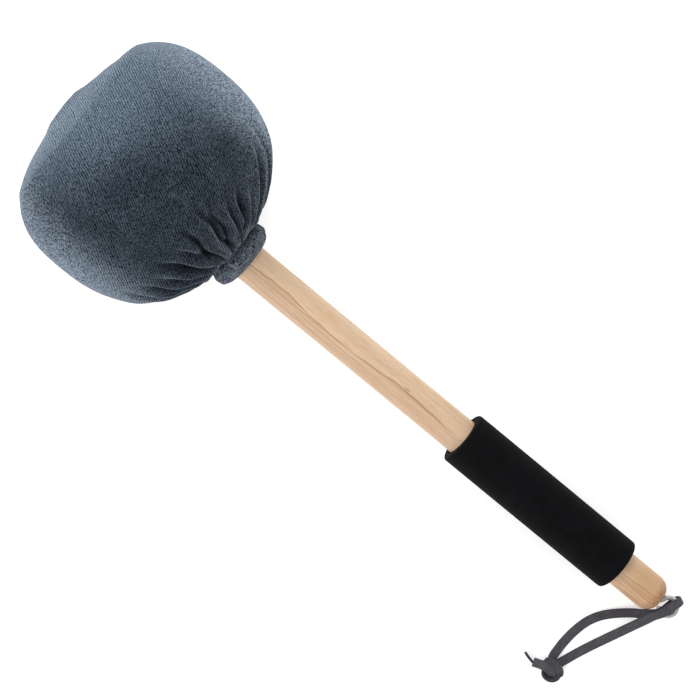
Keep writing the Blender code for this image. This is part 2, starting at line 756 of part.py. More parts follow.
def make_bight(group):
    """The fold of lace round the far wire of the eye, up to the middle of the eye."""
    slope, start, end = crossing()
    half = EYE_RING_RADIUS
    crown = BIGHT_RADIUS + CROWN_RISE
    flat = [(-half + GAP / 2, crown), (-0.5 * half, BIGHT_RADIUS + BIGHT_CREST)]
    turn_steps = 14
    last = -90 - math.degrees(slope)
    for step in range(turn_steps + 1):
        angle = math.radians(90 + (last - 90) * step / turn_steps)
        flat.append((BIGHT_RADIUS * math.cos(angle), BIGHT_RADIUS * math.sin(angle)))
    middle = ((start[0] + end[0]) / 2, (start[1] + end[1]) / 2)
    back = GAP / 2
    flat.append((middle[0] + back * math.cos(slope), middle[1] - back * math.sin(slope)))
    route = [at_wire(out, up) for out, up in flat]
    strip("lace_bight", route, [LACE_TANGENT] * len(route), group)


def beside_butt(x_mm, y_mm, height):
    """A point at level distances from the corner of the butt, and a height over the floor."""
    end = AXIS @ Vector((BUTT_END, 0.0, 0.0))
    return Vector((end.x + x_mm * MM, -HANDLE_RADIUS + y_mm * MM, height))


def on_route(x_mm, y_mm, lift):
    """A point of a strand: lift is 0 where it lies on the floor and 1 at the height of the eye."""
    return beside_butt(x_mm, y_mm, LYING_HEIGHT + lift * (EYE_MIDDLE.z - LYING_HEIGHT))


FRONT_ROUTE = [
    (3.7, 1.8, 1.554),
    (1.4, -3.9, 1.379),
    (-1.3, -10.7, 1.089),
    (-4.3, -18.3, 0.750),
    (-7.7, -26.7, 0.421),
    (-11.5, -35.7, 0.179),
    (-15.4, -44.7, 0.053),
    (-18.7, -52.9, 0.005),
    (-21.3, -59.7, 0.0),
    (-22.9, -63.9, 0.034),
]

REAR_ROUTE = [
    (3.4, 2.8, 1.283),
    (0.4, -0.1, 0.953),
    (-3.1, -3.1, 0.566),
    (-7.5, -6.7, 0.237),
    (-12.5, -11.2, 0.063),
    (-18.1, -16.8, 0.0),
    (-23.1, -23.3, 0.0),
    (-26.9, -31.3, 0.0),
    (-29.1, -40.7, 0.0),
    (-30.0, -50.3, 0.0),
    (-29.9, -58.3, 0.015),
    (-29.6, -62.6, 0.063),
]


def make_strands(group):
    slope, start, end = crossing()
    span = 2 * EYE_RING_RADIUS
    over = NEAR_WIRE_RADIUS + LACE_THICKNESS + STRAND_CLEARANCE
    front = [
        at_wire(-EYE_RING_RADIUS - GAP / 2, BIGHT_RADIUS + CROWN_RISE),
        at_wire(-0.78 * span, over),
        at_wire(-span, over + BIGHT_CREST),
    ]
    front += [on_route(*point) for point in FRONT_ROUTE]
    route = smooth_route(front, 5.0 * MM)
    strip("lace_front_strand", route, level_widths(route, -LACE_TANGENT), group)
    middle = ((start[0] + end[0]) / 2, (start[1] + end[1]) / 2)
    ahead = GAP / 2
    rear = [
        at_wire(middle[0] - ahead * math.cos(slope), middle[1] + ahead * math.sin(slope)),
        at_wire(*end),
        at_wire(-span - 2 * GAP, NEAR_WIRE_RADIUS),
    ]
    rear += [on_route(*point) for point in REAR_ROUTE]
    route = smooth_route(rear, 4.0 * MM)
    strip("lace_rear_strand", route, level_widths(route, -LACE_TANGENT), group)


KNOT_CENTER = beside_butt(-25.9, -69.9, KNOT_RISE)
KNOT_HEADING = math.radians(-113)


def knot_matrix(turn_z=0.0, shift=0.0):
    place = Matrix.Translation(KNOT_CENTER) @ Matrix.Rotation(KNOT_HEADING, 4, "Z")
    return place @ Matrix.Translation((shift, 0.0, 0.0)) @ Matrix.Rotation(turn_z, 4, "Z")


def knot_core():
    bm = bmesh.new()
    bmesh.ops.create_uvsphere(bm, u_segments=20, v_segments=10, radius=1.0)
    size = (KNOT_HALF_LENGTH, KNOT_HALF_WIDTH, KNOT_HALF_HEIGHT)
    bmesh.ops.scale(bm, vec=size, verts=bm.verts)
    bmesh.ops.transform(bm, matrix=knot_matrix(), verts=bm.verts)
    return mesh_from(bm, "lace_knot")


def knot_band(name, group, turn, shift, width_scale):
    """A closed band of lace round the bundle, as a squashed ring."""
    bm = bmesh.new()
    section = bmesh.ops.create_circle(bm, cap_ends=False, segments=8, radius=BAND_ROUND)
    bmesh.ops.scale(bm, vec=(width_scale, 0.75, 1.0), verts=section["verts"])
    bmesh.ops.translate(bm, vec=(0.0, BAND_RADIUS, 0.0), verts=section["verts"])
    bmesh.ops.spin(
        bm,
        geom=bm.verts[:] + bm.edges[:],
        cent=(0, 0, 0),
        axis=(1, 0, 0),
        dvec=(0, 0, 0),
        angle=2 * math.pi,
        steps=24,
        use_merge=True,
        use_duplicate=False,
    )
    bmesh.ops.scale(bm, vec=(1.0, 1.16, 0.8), verts=bm.verts)
    bmesh.ops.recalc_face_normals(bm, faces=bm.faces)
    bmesh.ops.transform(bm, matrix=knot_matrix(turn, shift), verts=bm.verts)
    band = new_object(name, mesh_from(bm, name), group)
    band.hide_render = True
    band.display_type = "WIRE"
    return band


def make_knot(group, cutters):
    knot = new_object("lace_knot", knot_core(), group)
    bands = [
        knot_band("knot_band_a", cutters, math.radians(22), -1.6 * MM, 2.2),
        knot_band("knot_band_b", cutters, math.radians(-30), 1.9 * MM, 2.0),
    ]
    for band in bands:
        union = knot.modifiers.new(band.name, "BOOLEAN")
        union.operation = "UNION"
        union.object = band
    cut_flat(knot, floor_cutter(cutters, "knot_floor_cutter", KNOT_CENTER, KNOT_CUTTER_SIDE))
    finish_material(knot, (0.10, 0.095, 0.105), 0.9)


def make_tails(group):
    standing = LACE_WIDTH / 2 + FLOOR_EASE
    edge_on = [beside_butt(x, y, standing) for x, y in EDGE_TAIL]
    route = smooth_route(edge_on, 4.0 * MM)
    strip("lace_tail_edge", route, [Vector((0.0, 0.0, 1.0))] * len(route), group)
    level = KNOT_TOP + TAIL_CLEARANCE + LACE_THICKNESS / 2
    flat = [beside_butt(x, y, level - drop * MM) for x, y, drop in FLAT_TAIL]
    route = smooth_route(flat, 4.0 * MM)
    strip("lace_tail_flat", route, level_widths(route), group)


# Ends of the lace, in millimetres from the corner of the butt, the flat one with its drop
EDGE_TAIL = [(-33.1, -74.2), (-37.5, -75.2), (-41.9, -74.9), (-46.2, -73.9)]
FLAT_TAIL = [(-26.4, -71.6, 0.0), (-30.2, -72.3, 0.1), (-34.2, -73.3, 0.8), (-38.0, -74.6, 1.5)]


def build():
    clear_scene()
    group = new_collection("gong_mallet")
    cutters = new_collection("cutters")
    axis = bpy.data.objects.new("mallet_axis", None)
    axis.matrix_world = AXIS
    group.objects.link(axis)
    make_handle(group, axis)
    make_grip(group, axis)
    make_eye(group, axis)
    make_core(group, axis)
    make_core_washer(group, axis)
    make_core_screw(group, axis)
    make_felt_wrap(group, axis)
    make_front_pad(group, axis)
    make_rear_pad(group, axis)
    make_padding(group, axis)
    make_cover(group, cutters, axis)
    make_neck_tie(group, axis)
    make_bight(group)
    make_strands(group)
    make_knot(group, cutters)
    make_tails(group)


build()
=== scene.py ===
"""A gong mallet lying on a floor, seen from straight above.

It has a gathered plush head, a maple handle, a foam grip and a knotted leather lace.
"""

import math

import bmesh
import bpy
import numpy as np
from mathutils import Matrix, Vector, noise


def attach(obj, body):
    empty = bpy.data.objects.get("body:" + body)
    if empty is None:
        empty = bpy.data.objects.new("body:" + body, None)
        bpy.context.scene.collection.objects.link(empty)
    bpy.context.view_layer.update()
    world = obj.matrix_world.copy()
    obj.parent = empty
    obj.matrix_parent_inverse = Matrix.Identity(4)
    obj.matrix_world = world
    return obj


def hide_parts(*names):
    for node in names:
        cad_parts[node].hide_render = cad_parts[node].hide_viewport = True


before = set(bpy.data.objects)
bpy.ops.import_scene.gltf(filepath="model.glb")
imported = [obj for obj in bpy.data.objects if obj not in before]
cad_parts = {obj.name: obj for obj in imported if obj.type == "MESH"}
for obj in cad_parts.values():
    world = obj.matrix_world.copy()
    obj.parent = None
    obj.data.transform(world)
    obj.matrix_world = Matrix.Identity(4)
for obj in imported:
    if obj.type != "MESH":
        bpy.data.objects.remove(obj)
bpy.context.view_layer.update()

MM = 0.001

# The mallet's own axis: stations run from the butt side of the collar towards the butt
TILT = math.radians(9.001188462953632)
COLLAR_FACE = Vector((0.084502, 0.0, 0.069420))
AXIS = Matrix.Translation(COLLAR_FACE) @ Matrix.Rotation(TILT, 4, "Y")

HANDLE_RADIUS = 12.7 * MM
GRIP_RADIUS = 19.05 * MM
GRIP_START = 185.4 * MM
GRIP_END = 325.1 * MM
BUTT_END = 363.2 * MM
HEAD_RADIUS = 83.5 * MM
HEAD_WIDEST = -92.0 * MM
HEAD_FRONT_DEPTH = 65.0 * MM
HEAD_FRONT_FULLNESS = 2.8
HEAD_REAR_DEPTH = 73.5 * MM
HEAD_REAR_FULLNESS = 2.5
GROOVE_START = -24.0 * MM
GROOVE_END = -17.6 * MM
GROOVE_RADIUS = 16.5 * MM
EYE_RADIUS = 6.45 * MM
EYE_WIRE_RADIUS = 1.68 * MM
EYE_STATION = 371.6 * MM
EYE_MIDDLE = AXIS @ Vector((EYE_STATION, 0.0, 0.0))
LACE_WIDTH = 6.35 * MM
LACE_THICKNESS = 1.8 * MM
LACE_AZIMUTH = math.radians(67.3)


# Camera, floor and light

CAMERA_HEIGHT = 1.700
PICTURE_TURN = math.radians(39.46)
FOCAL_PIXELS = 2476.0
PICTURE_PIXELS = 700
SENSOR = 36.0
SKY_STRENGTH = 0.68
FLOOR_GLOW = 0.42
WHITE = (1.0, 1.0, 1.0, 1.0)


def make_camera():
    camera = bpy.data.objects.new("camera", bpy.data.cameras.new("camera"))
    camera.data.sensor_width = SENSOR
    camera.data.lens = FOCAL_PIXELS * SENSOR / PICTURE_PIXELS
    camera.data.clip_start = 0.05
    camera.data.clip_end = 20.0
    camera.location = (0.1727, -0.0026, CAMERA_HEIGHT)
    camera.rotation_euler = (0.0, 0.0, PICTURE_TURN)
    bpy.context.scene.collection.objects.link(camera)
    bpy.context.scene.camera = camera


def make_lamp(name, place, aim, size, watts):
    lamp = bpy.data.objects.new(name, bpy.data.lights.new(name, "AREA"))
    lamp.data.shape = "SQUARE"
    lamp.data.size = size
    lamp.data.energy = watts
    lamp.location = place
    lamp.rotation_euler = (Vector(aim) - Vector(place)).to_track_quat("-Z", "Y").to_euler()
    bpy.context.scene.collection.objects.link(lamp)


def make_room():
    bpy.context.scene.view_settings.view_transform = "Standard"
    bm = bmesh.new()
    bmesh.ops.create_grid(bm, x_segments=2, y_segments=2, size=3.0)
    mesh = mesh_from(bm, "floor")
    floor = bpy.data.objects.new("floor", mesh)
    bpy.context.scene.collection.objects.link(floor)
    paper = Finish("floor_paper")
    paper.set({"Base Color": (0.90, 0.90, 0.90, 1.0), "Roughness": 0.9, "Specular IOR Level": 0.1})
    paper.set({"Emission Color": WHITE, "Emission Strength": FLOOR_GLOW})
    mesh.materials.append(paper.material)
    world = bpy.data.worlds.new("studio")
    world.use_nodes = True
    sky = world.node_tree.nodes["Background"]
    sky.inputs["Color"].default_value = WHITE
    sky.inputs["Strength"].default_value = SKY_STRENGTH
    bpy.context.scene.world = world
    make_lamp("key_lamp", (-0.85, 0.75, 1.15), (0.05, 0.0, 0.05), 0.8, 12.0)
    make_lamp("fill_lamp", (0.0, -1.15, 1.05), (0.15, 0.0, 0.05), 1.1, 9.0)


# Materials as expressions


class Field:
    """A value that changes over a surface."""

    def __init__(self, finish, socket):
        self.finish = finish
        self.socket = socket

    def math(self, operation, *others):
        values = dict(enumerate((self, *others)))
        return self.finish.add("ShaderNodeMath", {"operation": operation}, values)

    def __add__(self, other):
        return self.math("ADD", other)

    __radd__ = __add__

    def __sub__(self, other):
        return self.math("SUBTRACT", other)

    def __rsub__(self, other):
        return (self * -1.0) + other

    def __mul__(self, other):
        return self.math("MULTIPLY", other)

    __rmul__ = __mul__

    def __truediv__(self, other):
        return self.math("DIVIDE", other)

    def __abs__(self):
        return self.math("ABSOLUTE")

    def sine(self):
        return self.math("SINE")

    def cosine(self):
        return self.math("COSINE")


class Finish:
    """One material and its nodes."""

    def __init__(self, name):
        self.material = bpy.data.materials.new(name)
        self.material.use_nodes = True
        self.tree = self.material.node_tree
        self.tree.nodes.clear()
        self.shader = self.tree.nodes.new("ShaderNodeBsdfPrincipled")
        self.output = self.tree.nodes.new("ShaderNodeOutputMaterial")
        self.tree.links.new(self.shader.outputs["BSDF"], self.output.inputs["Surface"])

    def fill(self, node, values):
        for key, value in values.items():
            if isinstance(value, Field):
                self.tree.links.new(value.socket, node.inputs[key])
            else:
                node.inputs[key].default_value = value

    def set(self, values):
        self.fill(self.shader, values)

    def add(self, kind, settings=None, values=None, output=0):
        node = self.tree.nodes.new(kind)
        for key, value in (settings or {}).items():
            setattr(node, key, value)
        self.fill(node, values or {})
        return Field(self, node.outputs[output])

    def place(self):
        return self.add("ShaderNodeTexCoord", output="Object")

    def on_axis(self):
        """Coordinates of the mallet's own axis: X is the station, Z is up from the handle's middle."""
        shift = -(AXIS.to_3x3().inverted() @ COLLAR_FACE)
        return self.mapping(self.place(), (0.0, -TILT, 0.0), shift=shift)

    def mapping(self, vector, turn, shift=(0.0, 0.0, 0.0)):
        values = {"Vector": vector, "Rotation": turn, "Location": shift}
        return self.add("ShaderNodeMapping", {"vector_type": "POINT"}, values)

    def attribute(self, name):
        return self.add("ShaderNodeAttribute", {"attribute_name": name}, output="Fac")

    def noise(self, vector, scale, detail=2.0, roughness=0.5, distortion=0.0):
        values = {"Vector": vector, "Scale": scale, "Detail": detail}
        values.update({"Roughness": roughness, "Distortion": distortion})
        return self.add("ShaderNodeTexNoise", None, values)

    def spots(self, vector, scale):
        values = {"Vector": vector, "Scale": scale, "Randomness": 1.0}
        return self.add("ShaderNodeTexVoronoi", {"feature": "F1"}, values)

    def parts(self, vector, axis):
        return self.add("ShaderNodeSeparateXYZ", None, {"Vector": vector}, axis)

    def join(self, x, y, z):
        return self.add("ShaderNodeCombineXYZ", None, {"X": x, "Y": y, "Z": z})

    def between(self, value, low, high):
        values = {"Value": value, "From Min": low, "From Max": high}
        return self.add("ShaderNodeMapRange", {"interpolation_type": "SMOOTHSTEP"}, values)

    def mix(self, share, first, second):
        settings = {"data_type": "RGBA"}
        return self.add("ShaderNodeMix", settings, {0: share, 6: first, 7: second}, 2)

    def bump(self, height, distance, strength=1.0):
        values = {"Height": height, "Distance": distance, "Strength": strength}
        normal = self.add("ShaderNodeBump", None, values)
        self.set({"Normal": normal})
        return normal

    def under(self, share, values):
        """A second shader that takes the first one's place by the given share."""
        other = self.tree.nodes.new("ShaderNodeBsdfPrincipled")
        self.fill(other, values)
        mixed = self.tree.nodes.new("ShaderNodeMixShader")
        self.fill(mixed, {0: share})
        self.tree.links.new(self.shader.outputs["BSDF"], mixed.inputs[1])
        self.tree.links.new(other.outputs["BSDF"], mixed.inputs[2])
        self.tree.links.new(mixed.outputs["Shader"], self.output.inputs["Surface"])


def rgb(red, green, blue):
    """A colour as seen on a screen, 0 to 255, as the linear colour that a shader takes."""
    return (*[((c / 255 + 0.055) / 1.055) ** 2.4 for c in (red, green, blue)], 1.0)


# Pieces


def dress(mesh, finish):
    mesh.materials.append(finish.material)
    mesh.polygons.foreach_set("use_smooth", [True] * len(mesh.polygons))


def new_piece(name, mesh, body, finish=None):
    if finish is not None:
        dress(mesh, finish)
    piece = bpy.data.objects.new(name, mesh)
    bpy.context.scene.collection.objects.link(piece)
    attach(piece, body)
    return piece


def mesh_from(bm, name):
    mesh = bpy.data.meshes.new(name)
    bm.to_mesh(mesh)
    bm.free()
    return mesh


def spun(outline, steps):
    """A surface of revolution about the mallet's axis, from (station, radius) points."""
    bm = bmesh.new()
    verts = [bm.verts.new((x, r, 0.0)) for x, r in outline]
    for first, second in zip(verts, verts[1:]):
        bm.edges.new((first, second))
    bmesh.ops.spin(
        bm,
        geom=bm.verts[:] + bm.edges[:],
        cent=(0, 0, 0),
        axis=(1, 0, 0),
        dvec=(0, 0, 0),
        angle=2 * math.pi,
        steps=steps,
        use_merge=True,
        use_duplicate=False,
    )
    bmesh.ops.remove_doubles(bm, verts=bm.verts, dist=0.000005)
    bmesh.ops.recalc_face_normals(bm, faces=bm.faces)
    return bm


def smooth_route(points, spacing):
    """Points on a smooth curve through the given ones."""
    points = [Vector(point) for point in points]
    padded = [2 * points[0] - points[1]] + points + [2 * points[-1] - points[-2]]
    route = [points[0]]
    for index in range(1, len(points)):
        p0, p1, p2, p3 = padded[index - 1 : index + 3]
        count = max(1, round((p2 - p1).length / spacing))
        for step in range(1, count + 1):
            t = step / count
            route.append(
                0.5
                * (
                    2 * p1
                    + (p2 - p0) * t
                    + (2 * p0 - 5 * p1 + 4 * p2 - p3) * t**2
                    + (3 * p1 - p0 - 3 * p2 + p3) * t**3
                )
            )
    return route


def distances_along(route):
    """How far along the route each of its points lies."""
    travelled = [0.0]
    for first, second in zip(route, route[1:]):
        travelled.append(travelled[-1] + (second - first).length)
    return travelled


# Lace

LACE_TURN = AXIS.to_3x3()
LACE_OUT = LACE_TURN @ Vector((math.cos(LACE_AZIMUTH), math.sin(LACE_AZIMUTH), 0.0))
LACE_UP = LACE_TURN @ Vector((0.0, 0.0, 1.0))
LACE_TANGENT = LACE_TURN @ Vector((-math.sin(LACE_AZIMUTH), math.cos(LACE_AZIMUTH), 0.0))
EYE_WIRE = EYE_MIDDLE + LACE_OUT * EYE_RADIUS
BIGHT_RADIUS = 3.6 * MM
NEAR_WIRE_RADIUS = 3.65 * MM
PINCH_SHARE = 0.24
PINCH_REACH = 3.8 * MM
WORN_EDGE = 0.32 * MM
CROSSING_SLOPE = math.asin((BIGHT_RADIUS + NEAR_WIRE_RADIUS) / (2 * EYE_RADIUS))


def at_wire(out, up):
    return EYE_WIRE + LACE_OUT * out + LACE_UP * up


def beside_butt(x, y, z):
    """A point in millimetres: level distances from the corner of the butt, height over the floor."""
    end = AXIS @ Vector((BUTT_END, 0.0, 0.0))
    return Vector((end.x + x * MM, -HANDLE_RADIUS + y * MM, z * MM))


LYING_HEIGHT = 0.95 * MM


def on_route(x, y, lift):
    """A point of a strand: lift is 0 where it lies on the floor and 1 at the height of the eye."""
    return beside_butt(x, y, (LYING_HEIGHT + lift * (EYE_MIDDLE.z - LYING_HEIGHT)) / MM)


FRONT_ROUTE = [
    (3.7, 1.8, 1.554),
    (1.4, -3.9, 1.379),
    (-1.3, -10.7, 1.089),
    (-4.3, -18.3, 0.750),
    (-7.7, -26.7, 0.421),
    (-11.5, -35.7, 0.179),
    (-15.4, -44.7, 0.053),
    (-18.7, -52.9, 0.005),
    (-21.3, -59.7, 0.0),
    (-22.9, -63.9, 0.034),
]

REAR_ROUTE = [
    (3.4, 2.8, 1.283),
    (0.4, -0.1, 0.953),
    (-3.1, -3.1, 0.566),
    (-7.5, -6.7, 0.237),
    (-12.5, -11.2, 0.063),
    (-18.1, -16.8, 0.0),
    (-23.1, -23.3, 0.0),
    (-26.9, -31.3, 0.0),
    (-29.1, -40.7, 0.0),
    (-30.0, -50.3, 0.0),
    (-29.9, -58.3, 0.015),
    (-29.6, -62.6, 0.063),
]


def level_widths(route, first=None, blend_points=8):
    """Level directions square to the route, eased in from a given first direction."""
    widths = []
    for index in range(len(route)):
        before = route[max(index - 1, 0)]
        after = route[min(index + 1, len(route) - 1)]
        ahead = after - before
        width = Vector((ahead.y, -ahead.x, 0.0)).normalized()
        if first is not None and index < blend_points:
            share = index / blend_points
            if first.dot(width) < 0:
                width = -width
            width = first.lerp(width, share).normalized()
        elif widths and widths[-1].dot(width) < 0:
            width = -width
        widths.append(width)
    return widths


def pinched(point, pinch):
    """Share of its full width that the lace keeps at a point near the pinched one."""
    return 1.0 - PINCH_SHARE * math.exp(-(((point - pinch).length / PINCH_REACH) ** 2))


def strip(name, route, widths, closed=False, pinch=None):
    """A flat strip of leather along a route, with soft edges, narrower round a pinched point."""
    bm = bmesh.new()
    along = bm.verts.layers.float.new("along")
    across = bm.verts.layers.float.new("across")
    lines = []
    travelled = distances_along(route)
    for share in (-1.0, -0.6, 0.0, 0.6, 1.0):
        verts = []
        for distance, point, side in zip(travelled, route, widths):
            narrow = 1.0 if pinch is None else pinched(point, pinch)
            vert = bm.verts.new(point + side * share * 0.5 * LACE_WIDTH * narrow)
            vert[along] = distance
            vert[across] = share
            verts.append(vert)
        pairs = list(zip(verts, verts[1:]))
        if closed:
            pairs.append((verts[-1], verts[0]))
        lines.append([bm.edges.new(pair) for pair in pairs])
    for first, second in zip(lines, lines[1:]):
        bmesh.ops.bridge_loops(bm, edges=first + second)
    bmesh.ops.recalc_face_normals(bm, faces=bm.faces)
    piece = new_piece(name, mesh_from(bm, name), "lace", suede)
    solidify = piece.modifiers.new("thickness", "SOLIDIFY")
    solidify.thickness = LACE_THICKNESS
    solidify.offset = 0.0
    solidify.use_even_offset = True
    bevel = piece.modifiers.new("worn_edges", "BEVEL")
    bevel.width = WORN_EDGE
    bevel.segments = 2
    bevel.limit_method = "ANGLE"
    bevel.angle_limit = math.radians(50)
    return piece


def make_suede():
    """Dark grey suede with a short nap, with painted shade darkening the edges of the strip."""
    finish = Finish("lace_suede")
    place = finish.place()
    along = finish.attribute("along")
    across = finish.attribute("across")
    cloud = finish.noise(place, 160.0, 3.0, 0.6)
    nap = finish.noise(place, 1500.0, 2.0, 0.6)
    streak = finish.noise(finish.join(along * 220.0, across * 3.2, 0.0), 1.0, 2.0, 0.6)
    tone = cloud * 0.26 + nap * 0.40 + streak * 0.34
    body = finish.mix(finish.between(tone, 0.34, 0.66), rgb(58, 57, 62), rgb(84, 82, 88))
    # Painted shade: the strip darkens towards its edges, where its sides turn away.
    edge = finish.between(abs(across) + nap * 0.10, 0.86, 1.04)
    finish.set({"Base Color": finish.mix(edge * 0.6, body, rgb(44, 42, 47))})
    finish.set({"Roughness": 0.92, "Specular IOR Level": 0.25, "Sheen Weight": 0.25})
    finish.set({"Sheen Roughness": 0.5, "Sheen Tint": rgb(190, 188, 195)})
    finish.bump(nap * 0.7 + cloud * 0.2 + streak * 0.3, 0.3 * MM, 0.8)
    return finish


def make_bight_route():
    """From the middle of the eye up round its far wire and back over the top."""
    start = (-BIGHT_RADIUS * math.sin(CROSSING_SLOPE), -BIGHT_RADIUS * math.cos(CROSSING_SLOPE))
    span = 2 * EYE_RADIUS
    end = (
        -span + NEAR_WIRE_RADIUS * math.sin(CROSSING_SLOPE),
        NEAR_WIRE_RADIUS * math.cos(CROSSING_SLOPE),
    )
    middle = ((start[0] + end[0]) / 2, (start[1] + end[1]) / 2)
    turn = [middle]
    steps = 18
    first = -90 - math.degrees(CROSSING_SLOPE)
    for step in range(steps + 1):
        angle = math.radians(first + (90 - first) * step / steps)
        turn.append((BIGHT_RADIUS * math.cos(angle), BIGHT_RADIUS * math.sin(angle)))
    turn += [(-0.25 * EYE_RADIUS, 3.9 * MM), (-0.5 * EYE_RADIUS, 4.1 * MM)]
    return [at_wire(out, up) for out, up in turn], middle, end


def make_lace():
    bight, middle, end = make_bight_route()
    span = 2 * EYE_RADIUS
    over = NEAR_WIRE_RADIUS + LACE_THICKNESS + 0.36 * MM
    top = [
        bight[-1],
        at_wire(-EYE_RADIUS - 0.15 * MM, 4.75 * MM),
        at_wire(-0.78 * span, over),
        at_wire(-span, over + 0.3 * MM),
    ]
    strand = [on_route(*point) for point in FRONT_ROUTE]
    strand += [beside_butt(*point) for point in KNOT_FRONT_TUCK]
    front = smooth_route(top + strand, 1.6 * MM)
    widths = [LACE_TANGENT] * (len(bight) - 1) + [-w for w in level_widths(front, -LACE_TANGENT, 14)]
    route = bight[:-1] + front
    lace_front = strip("lace_front", route, widths, pinch=at_wire(BIGHT_RADIUS, 0.0))
    rear = [at_wire(*middle), at_wire(*end), at_wire(-span - 0.6 * MM, NEAR_WIRE_RADIUS)]
    rear += [on_route(*point) for point in REAR_ROUTE]
    rear += [beside_butt(*point) for point in KNOT_REAR_TUCK]
    rear = smooth_route(rear, 1.6 * MM)
    lace_rear = strip("lace_rear", rear, level_widths(rear, -LACE_TANGENT, 14))
    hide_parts("lace_bight", "lace_front_strand")
    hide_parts("lace_rear_strand")
    return lace_front, route, lace_rear, rear


# Knot: places in millimetres from the corner of the butt, each with the way that the width lies

KNOT_LOOP_CENTER = (-23.3, -73.2, 3.5)
KNOT_LOOP_RADIUS = 4.1
KNOT_LOOP_LEAN = math.radians(52)
KNOT_HEART_CENTER = (-25.2, -69.9, 3.1)
KNOT_HEART_HALVES = (4.9 * MM, 4.2 * MM, 2.5 * MM)
KNOT_WRAP = [
    ((-32.0, -70.2, 1.5), (0.05, 0.95, 0.30)),
    ((-31.6, -69.4, 4.2), (-0.10, 0.96, 0.22)),
    ((-29.8, -68.0, 6.9), (0.02, 0.98, -0.06)),
    ((-26.6, -67.1, 8.1), (0.18, 0.95, -0.22)),
    ((-23.0, -67.4, 7.7), (0.38, 0.87, -0.32)),
    ((-20.0, -69.0, 6.1), (0.62, 0.67, -0.40)),
    ((-18.8, -71.0, 4.0), (0.80, 0.42, -0.42)),
    ((-19.9, -72.2, 2.6), (0.80, 0.30, -0.50)),
]
KNOT_FLAT_END = [
    ((-21.2, -74.2, 3.2), (0.50, 0.40, 0.77)),
    ((-22.6, -73.2, 5.4), (0.36, 0.66, 0.66)),
    ((-25.3, -72.2, 7.9), (0.18, 0.90, 0.38)),
    ((-28.6, -71.9, 9.3), (0.02, 0.99, 0.14)),
    ((-32.0, -72.5, 9.0), (-0.12, 0.99, 0.02)),
    ((-35.3, -73.7, 8.0), (-0.24, 0.97, -0.04)),
    ((-38.4, -75.0, 7.3), (-0.34, 0.94, -0.02)),
]
KNOT_EDGE_END = [(-33.1, -75.1), (-37.5, -75.4), (-41.9, -74.7), (-46.2, -73.5)]
KNOT_FRONT_TUCK = [(-23.9, -66.2, 3.0), (-24.6, -68.6, 4.4)]
KNOT_REAR_TUCK = [(-29.0, -65.0, 2.4), (-28.2, -67.8, 3.4)]


def laid_strip(name, places):
    """A strip through places that also say which way its width lies."""
    given = [beside_butt(*place) for place, _ in places]
    route = smooth_route(given, 0.8 * MM)
    travelled = distances_along(route)
    marks = [min(range(len(route)), key=lambda i: (route[i] - point).length) for point in given]
    widths = []
    for index in range(len(route)):
        after = next((k for k, mark in enumerate(marks) if mark >= index), len(marks) - 1)
        before = max(after - 1, 0)
        low, high = travelled[marks[before]], travelled[marks[after]]
        share = (travelled[index] - low) / (high - low) if high > low else 1.0
        widths.append(Vector(places[before][1]).lerp(Vector(places[after][1]), share).normalized())
    return strip(name, route, widths)


def make_knot():
    """A ring of lace and a wrap over a rounded heart, with the two ends coming out of it."""
    center = beside_butt(*KNOT_LOOP_CENTER)
    steps = 48
    route, widths = [], []
    for step in range(steps):
        angle = 2 * math.pi * step / steps
        out = Vector((math.cos(angle), math.sin(angle), 0.0))
        radius = KNOT_LOOP_RADIUS * (1.0 + 0.07 * math.cos(2 * angle - 0.8)) * MM
        lift = 0.35 * MM * math.cos(angle - 0.9)
        route.append(center + out * radius + Vector((0.0, 0.0, lift)))
        lean = KNOT_LOOP_LEAN + 0.16 * math.cos(angle + 0.5)
        widths.append((out * math.cos(lean) + Vector((0.0, 0.0, math.sin(lean)))).normalized())
    loop = strip("knot_loop", route, widths, closed=True)
    bm = bmesh.new()
    bmesh.ops.create_uvsphere(bm, u_segments=40, v_segments=20, radius=1.0)
    bmesh.ops.scale(bm, vec=KNOT_HEART_HALVES, verts=bm.verts)
    bmesh.ops.translate(bm, vec=beside_butt(*KNOT_HEART_CENTER), verts=bm.verts)
    along = bm.verts.layers.float.new("along")
    for vert in bm.verts:
        vert[along] = vert.co.y
        vert.co += vert.normal * 0.35 * MM * noise.noise(vert.co * 420.0)
    heart = new_piece("knot_heart", mesh_from(bm, "knot_heart"), "lace", suede)
    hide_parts("lace_knot")
    wrap = laid_strip("knot_wrap", KNOT_WRAP)
    standing = 0.5 * LACE_WIDTH / MM + 0.05
    edge = smooth_route([beside_butt(x, y, standing) for x, y in KNOT_EDGE_END], 1.2 * MM)
    edge_tail = strip("lace_end_edge", edge, [Vector((0.0, 0.0, 1.0))] * len(edge))
    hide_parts("lace_tail_edge")
    flat_tail = laid_strip("lace_end_flat", KNOT_FLAT_END)
    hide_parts("lace_tail_flat")
    return [heart, loop, wrap, edge_tail, flat_tail]


make_camera()
make_room()
suede = make_suede()
lace_front, front_route, lace_rear, rear_route = make_lace()
knot_pieces = make_knot()
distances_along(front_route)[-1]
distances_along(rear_route)[-1]


# Handle

STREAK_STATION = 133.8 * MM
HANDLE_FRONT = -150.0 * MM
BUTT_ROUND = 9.5 * MM
BUTT_FACE = 5.4 * MM


